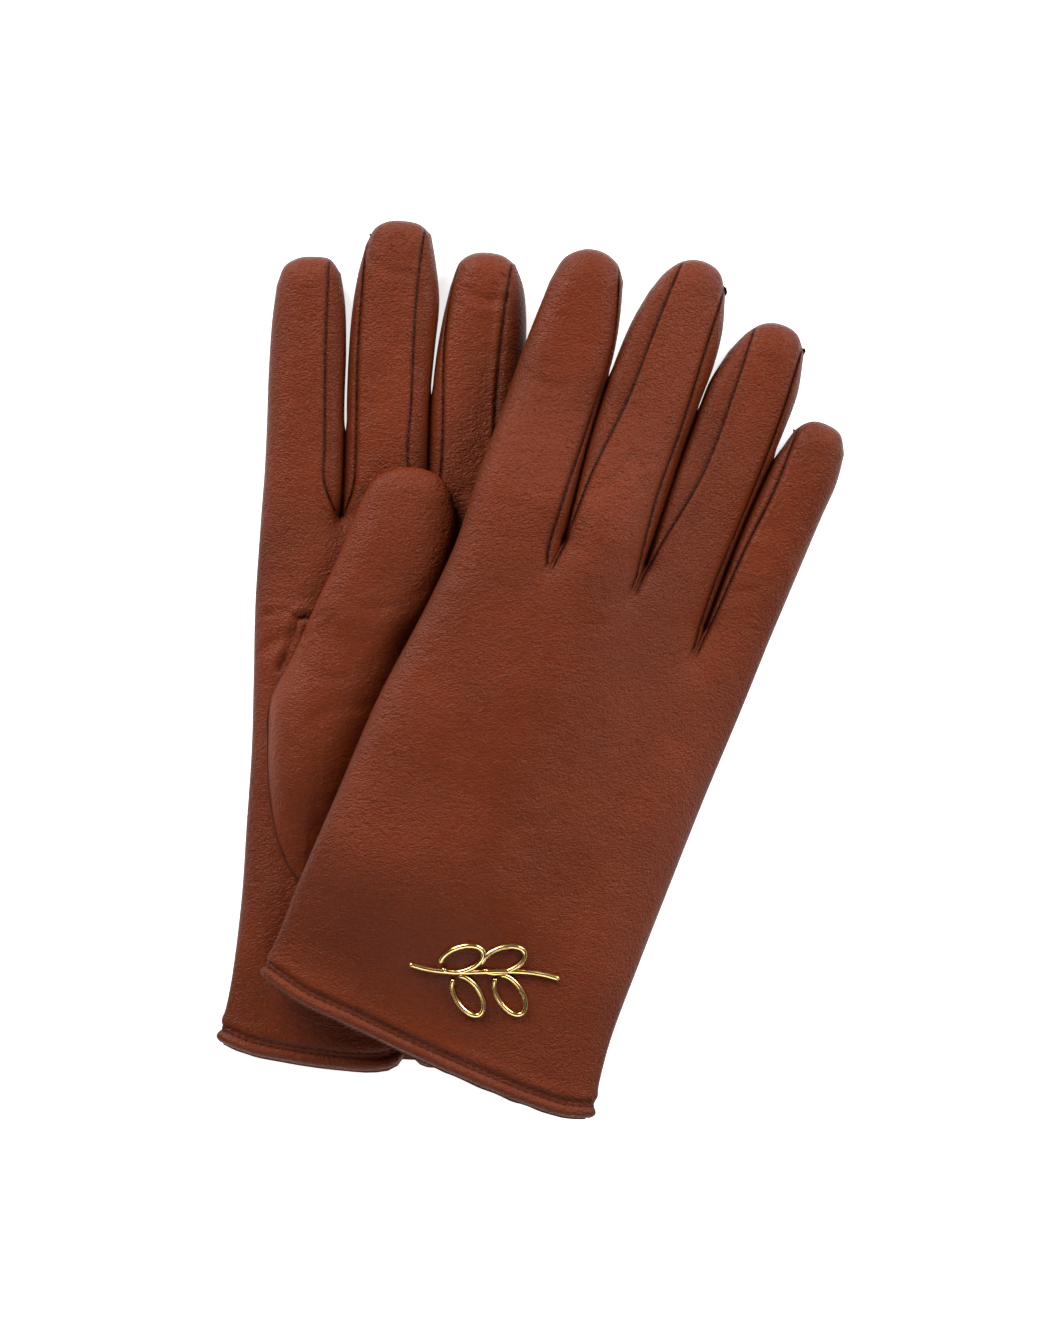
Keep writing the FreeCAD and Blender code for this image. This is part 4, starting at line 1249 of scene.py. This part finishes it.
def build_gusset_seam(glove, data, plan, top, over):
    """The dark seam where the thumb's leather comes up out of the palm, from its foot to the quirk."""
    path = []
    for spots, heights, rise in zip(plan, top, over):
        c = int(np.argmax(rise > 0))
        if c > 0 and spots[c, 1] < data["quirk"]:
            t = -rise[c - 1] / (rise[c] - rise[c - 1])
            path.append([*mix(spots[c - 1], spots[c], t), mix(heights[c - 1], heights[c], t)])
    path = spline(np.array(path)[::GUSSET_SKIP], 160)
    path = thumb_to_frame(glove, path[:, :2], path[:, 2] + GUSSET_LIFT)
    name = glove["name"]
    seam = rods_object(f"{name}_gusset_seam", [path], GUSSET_SEAM * MM, THREAD)
    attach(seam, f"{name}_hand")


def build_thumb(name):
    glove = GLOVES[name]
    data = THUMBS[name]
    plan = thumb_strip(data)
    top, low, over = thumb_heights(name, glove, data, plan)
    if name == "left":
        build_gusset_seam(glove, data, plan, top, over)
    upper = thumb_to_frame(glove, plan, top)
    lower = thumb_to_frame(glove, plan, low)
    rows, columns = top.shape
    points = np.concatenate([upper.reshape(-1, 3), lower.reshape(-1, 3)])
    # Painted shade in the crease where the thumb comes up out of the palm, partly the dark gusset seam,
    # fading out above the quirk.
    seam = np.exp(-(np.maximum(over, 0.0) / GUSSET_SHADE) ** 2)
    seam *= 1.0 - smooth((plan[..., 1] - data["quirk"]) / QUIRK_FADE)
    shade = np.concatenate([seam.reshape(-1), np.zeros(rows * columns)])
    faces = grid_faces(rows, columns, 0) + grid_faces(rows, columns, rows * columns, True)
    _, index = weld_index(points)
    normals = vertex_normals(points, faces, index)
    middle = plan[:, columns // 2, 1]
    split = int(np.argmax(middle > data["bend"][0][1] - THUMB_SPLIT))
    spans = (("base", 0, split, f"{name}_hand", f"{name}_thumb_base", data["root"], ROOT_REACH),
             ("tip", split, rows - 1, f"{name}_thumb_base", f"{name}_thumb_tip", data["bend"], BEND_REACH))
    for label, first, last, a, b, fold, reach in spans:
        pick = np.r_[np.arange(first * columns, (last + 1) * columns),
                     rows * columns + np.arange(first * columns, (last + 1) * columns)]
        count = last + 1 - first
        loops = grid_faces(count, columns, 0) + grid_faces(count, columns, count * columns, True)
        piece = skin_object(f"{name}_thumb_{label}_skin", points[pick], loops, normals[pick], shade[pick],
                            LEATHER_MAT, LEATHER * MM)
        nodes = [f"{name}_thumb_{label}"]
        if label == "base":
            nodes.append(f"{name}_thumb_gusset")
        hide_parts(*nodes)
        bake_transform(piece)


# ---------------------------------------------------------------- ornament

SPRIG_CENTRE = (8.5, 26.5)
SPRIG_HALF = 20.0
SPRIG_RISE = 5.0
SPRIG_TURN = -2.0
LEAF_LENGTH = 12.5
LEAF_HALF = 3.4
LEAF_LEAN = 38.0
LEAF_GAP = 1.5
WIRE = 0.72
LEAVES = ((-12.0, 1), (-7.0, -1), (-1.0, 1), (4.0, -1))


def sprig_plan(along, across):
    return np.array([SPRIG_CENTRE[0] + along, SPRIG_CENTRE[1] + across])


def stem_rise(along):
    return SPRIG_TURN + SPRIG_RISE * math.sin(math.pi * along / (2 * SPRIG_HALF))


def leaf_plan(along, side, count=60):
    """A leaf loop that leaves the stem and comes back beside where it left."""
    lean = math.radians(LEAF_LEAN) * side
    spots = []
    for turn in np.radians(np.linspace(20.0, 340.0, count)):
        u = 0.5 * LEAF_LENGTH * (1.0 - math.cos(turn))
        v = LEAF_HALF * math.sin(turn)
        spots.append(sprig_plan(along + u * math.cos(lean) - v * math.sin(lean),
                                stem_rise(along) + LEAF_GAP * side + u * math.sin(lean) + v * math.cos(lean)))
    return np.array(spots)


def build_ornament():
    glove = GLOVES["right"]
    stem = np.array([sprig_plan(a, stem_rise(a)) for a in np.linspace(-SPRIG_HALF, SPRIG_HALF, 80)])
    paths = []
    for plan in [stem] + [leaf_plan(along, side) for along, side in LEAVES]:
        height = top_height(glove, plan, PAIR["right"].distance) + WIRE * 0.8
        paths.append(to_frame(glove, plan[:, 0], plan[:, 1], height))
    sprig = rods_object("right_sprig", paths, WIRE * MM, GOLD, 16)
    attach(sprig, "right_hand")
    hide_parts("right_ornament", "right_ornament_clips")


PAIR = {name: Glove(plan) for name, plan in GLOVES.items()}
for glove_name, pair_glove in PAIR.items():
    pair_glove.build_hand()
    pair_glove.build_hem()
    pair_glove.build_lining()
    build_thumb(glove_name)
build_ornament()


# ---------------------------------------------------------------- floor, light, camera

FLOOR_HALF = 3.0
FLOOR_GAP = 0.0004
FLOOR_GLOW = 0.75
FRAME_HEIGHT = 0.3708
CAMERA_DISTANCE = 2.2
MID_HEIGHT = 0.012
SENSOR = 24.0
CENTRE = (SHIFT * MM) + np.array([-0.4, 2.4]) * MM
WORLD_LIGHT = 0.07

# Name, place, aim, size (m) and power (W) of each soft light
LIGHTS = (("top_left", (-0.65, 0.9, 0.62), (0, 0.06, 0), 0.7, 23),
          ("right", (0.9, 0.6, 0.6), (0, 0.04, 0), 0.6, 16),
          ("front", (-0.1, -1.2, 0.8), (0, 0, 0), 0.8, 7))


def make_floor():
    corners = [(x * FLOOR_HALF, y * FLOOR_HALF, 0) for x, y in ((-1, -1), (1, -1), (1, 1), (-1, 1))]
    mesh = bpy.data.meshes.new("floor")
    mesh.from_pydata(corners, [], [(0, 1, 2, 3)])
    floor = bpy.data.objects.new("floor", mesh)
    bpy.context.scene.collection.objects.link(floor)
    floor.location.z = -FLOOR_GAP
    material, _, bsdf = new_material("floor_white")
    bsdf.inputs["Base Color"].default_value = (0.95, 0.95, 0.95, 1)
    bsdf.inputs["Emission Color"].default_value = (1, 1, 1, 1)
    bsdf.inputs["Emission Strength"].default_value = FLOOR_GLOW
    bsdf.inputs["Roughness"].default_value = 0.9
    mesh.materials.append(material)


def area_light(name, position, target, size, power):
    light = bpy.data.lights.new(name, "AREA")
    light.size = size
    light.energy = power
    obj = bpy.data.objects.new(name, light)
    bpy.context.scene.collection.objects.link(obj)
    obj.location = position
    direction = Vector(target) - Vector(position)
    obj.rotation_euler = direction.to_track_quat("-Z", "Y").to_euler()


def make_camera():
    camera = bpy.data.cameras.new("camera")
    obj = bpy.data.objects.new("camera", camera)
    bpy.context.scene.collection.objects.link(obj)
    camera.sensor_fit = "VERTICAL"
    camera.sensor_height = SENSOR
    camera.lens = SENSOR * CAMERA_DISTANCE / FRAME_HEIGHT
    camera.clip_end = 20.0
    obj.location = (CENTRE[0], CENTRE[1], CAMERA_DISTANCE + MID_HEIGHT)
    bpy.context.scene.camera = obj


def make_world():
    world = bpy.data.worlds.new("world")
    world.use_nodes = True
    background = world.node_tree.nodes["Background"]
    background.inputs["Color"].default_value = (1, 1, 1, 1)
    background.inputs["Strength"].default_value = WORLD_LIGHT
    bpy.context.scene.world = world
    bpy.context.scene.view_settings.view_transform = "Standard"


make_floor()
for light_values in LIGHTS:
    area_light(*light_values)
make_world()
make_camera()
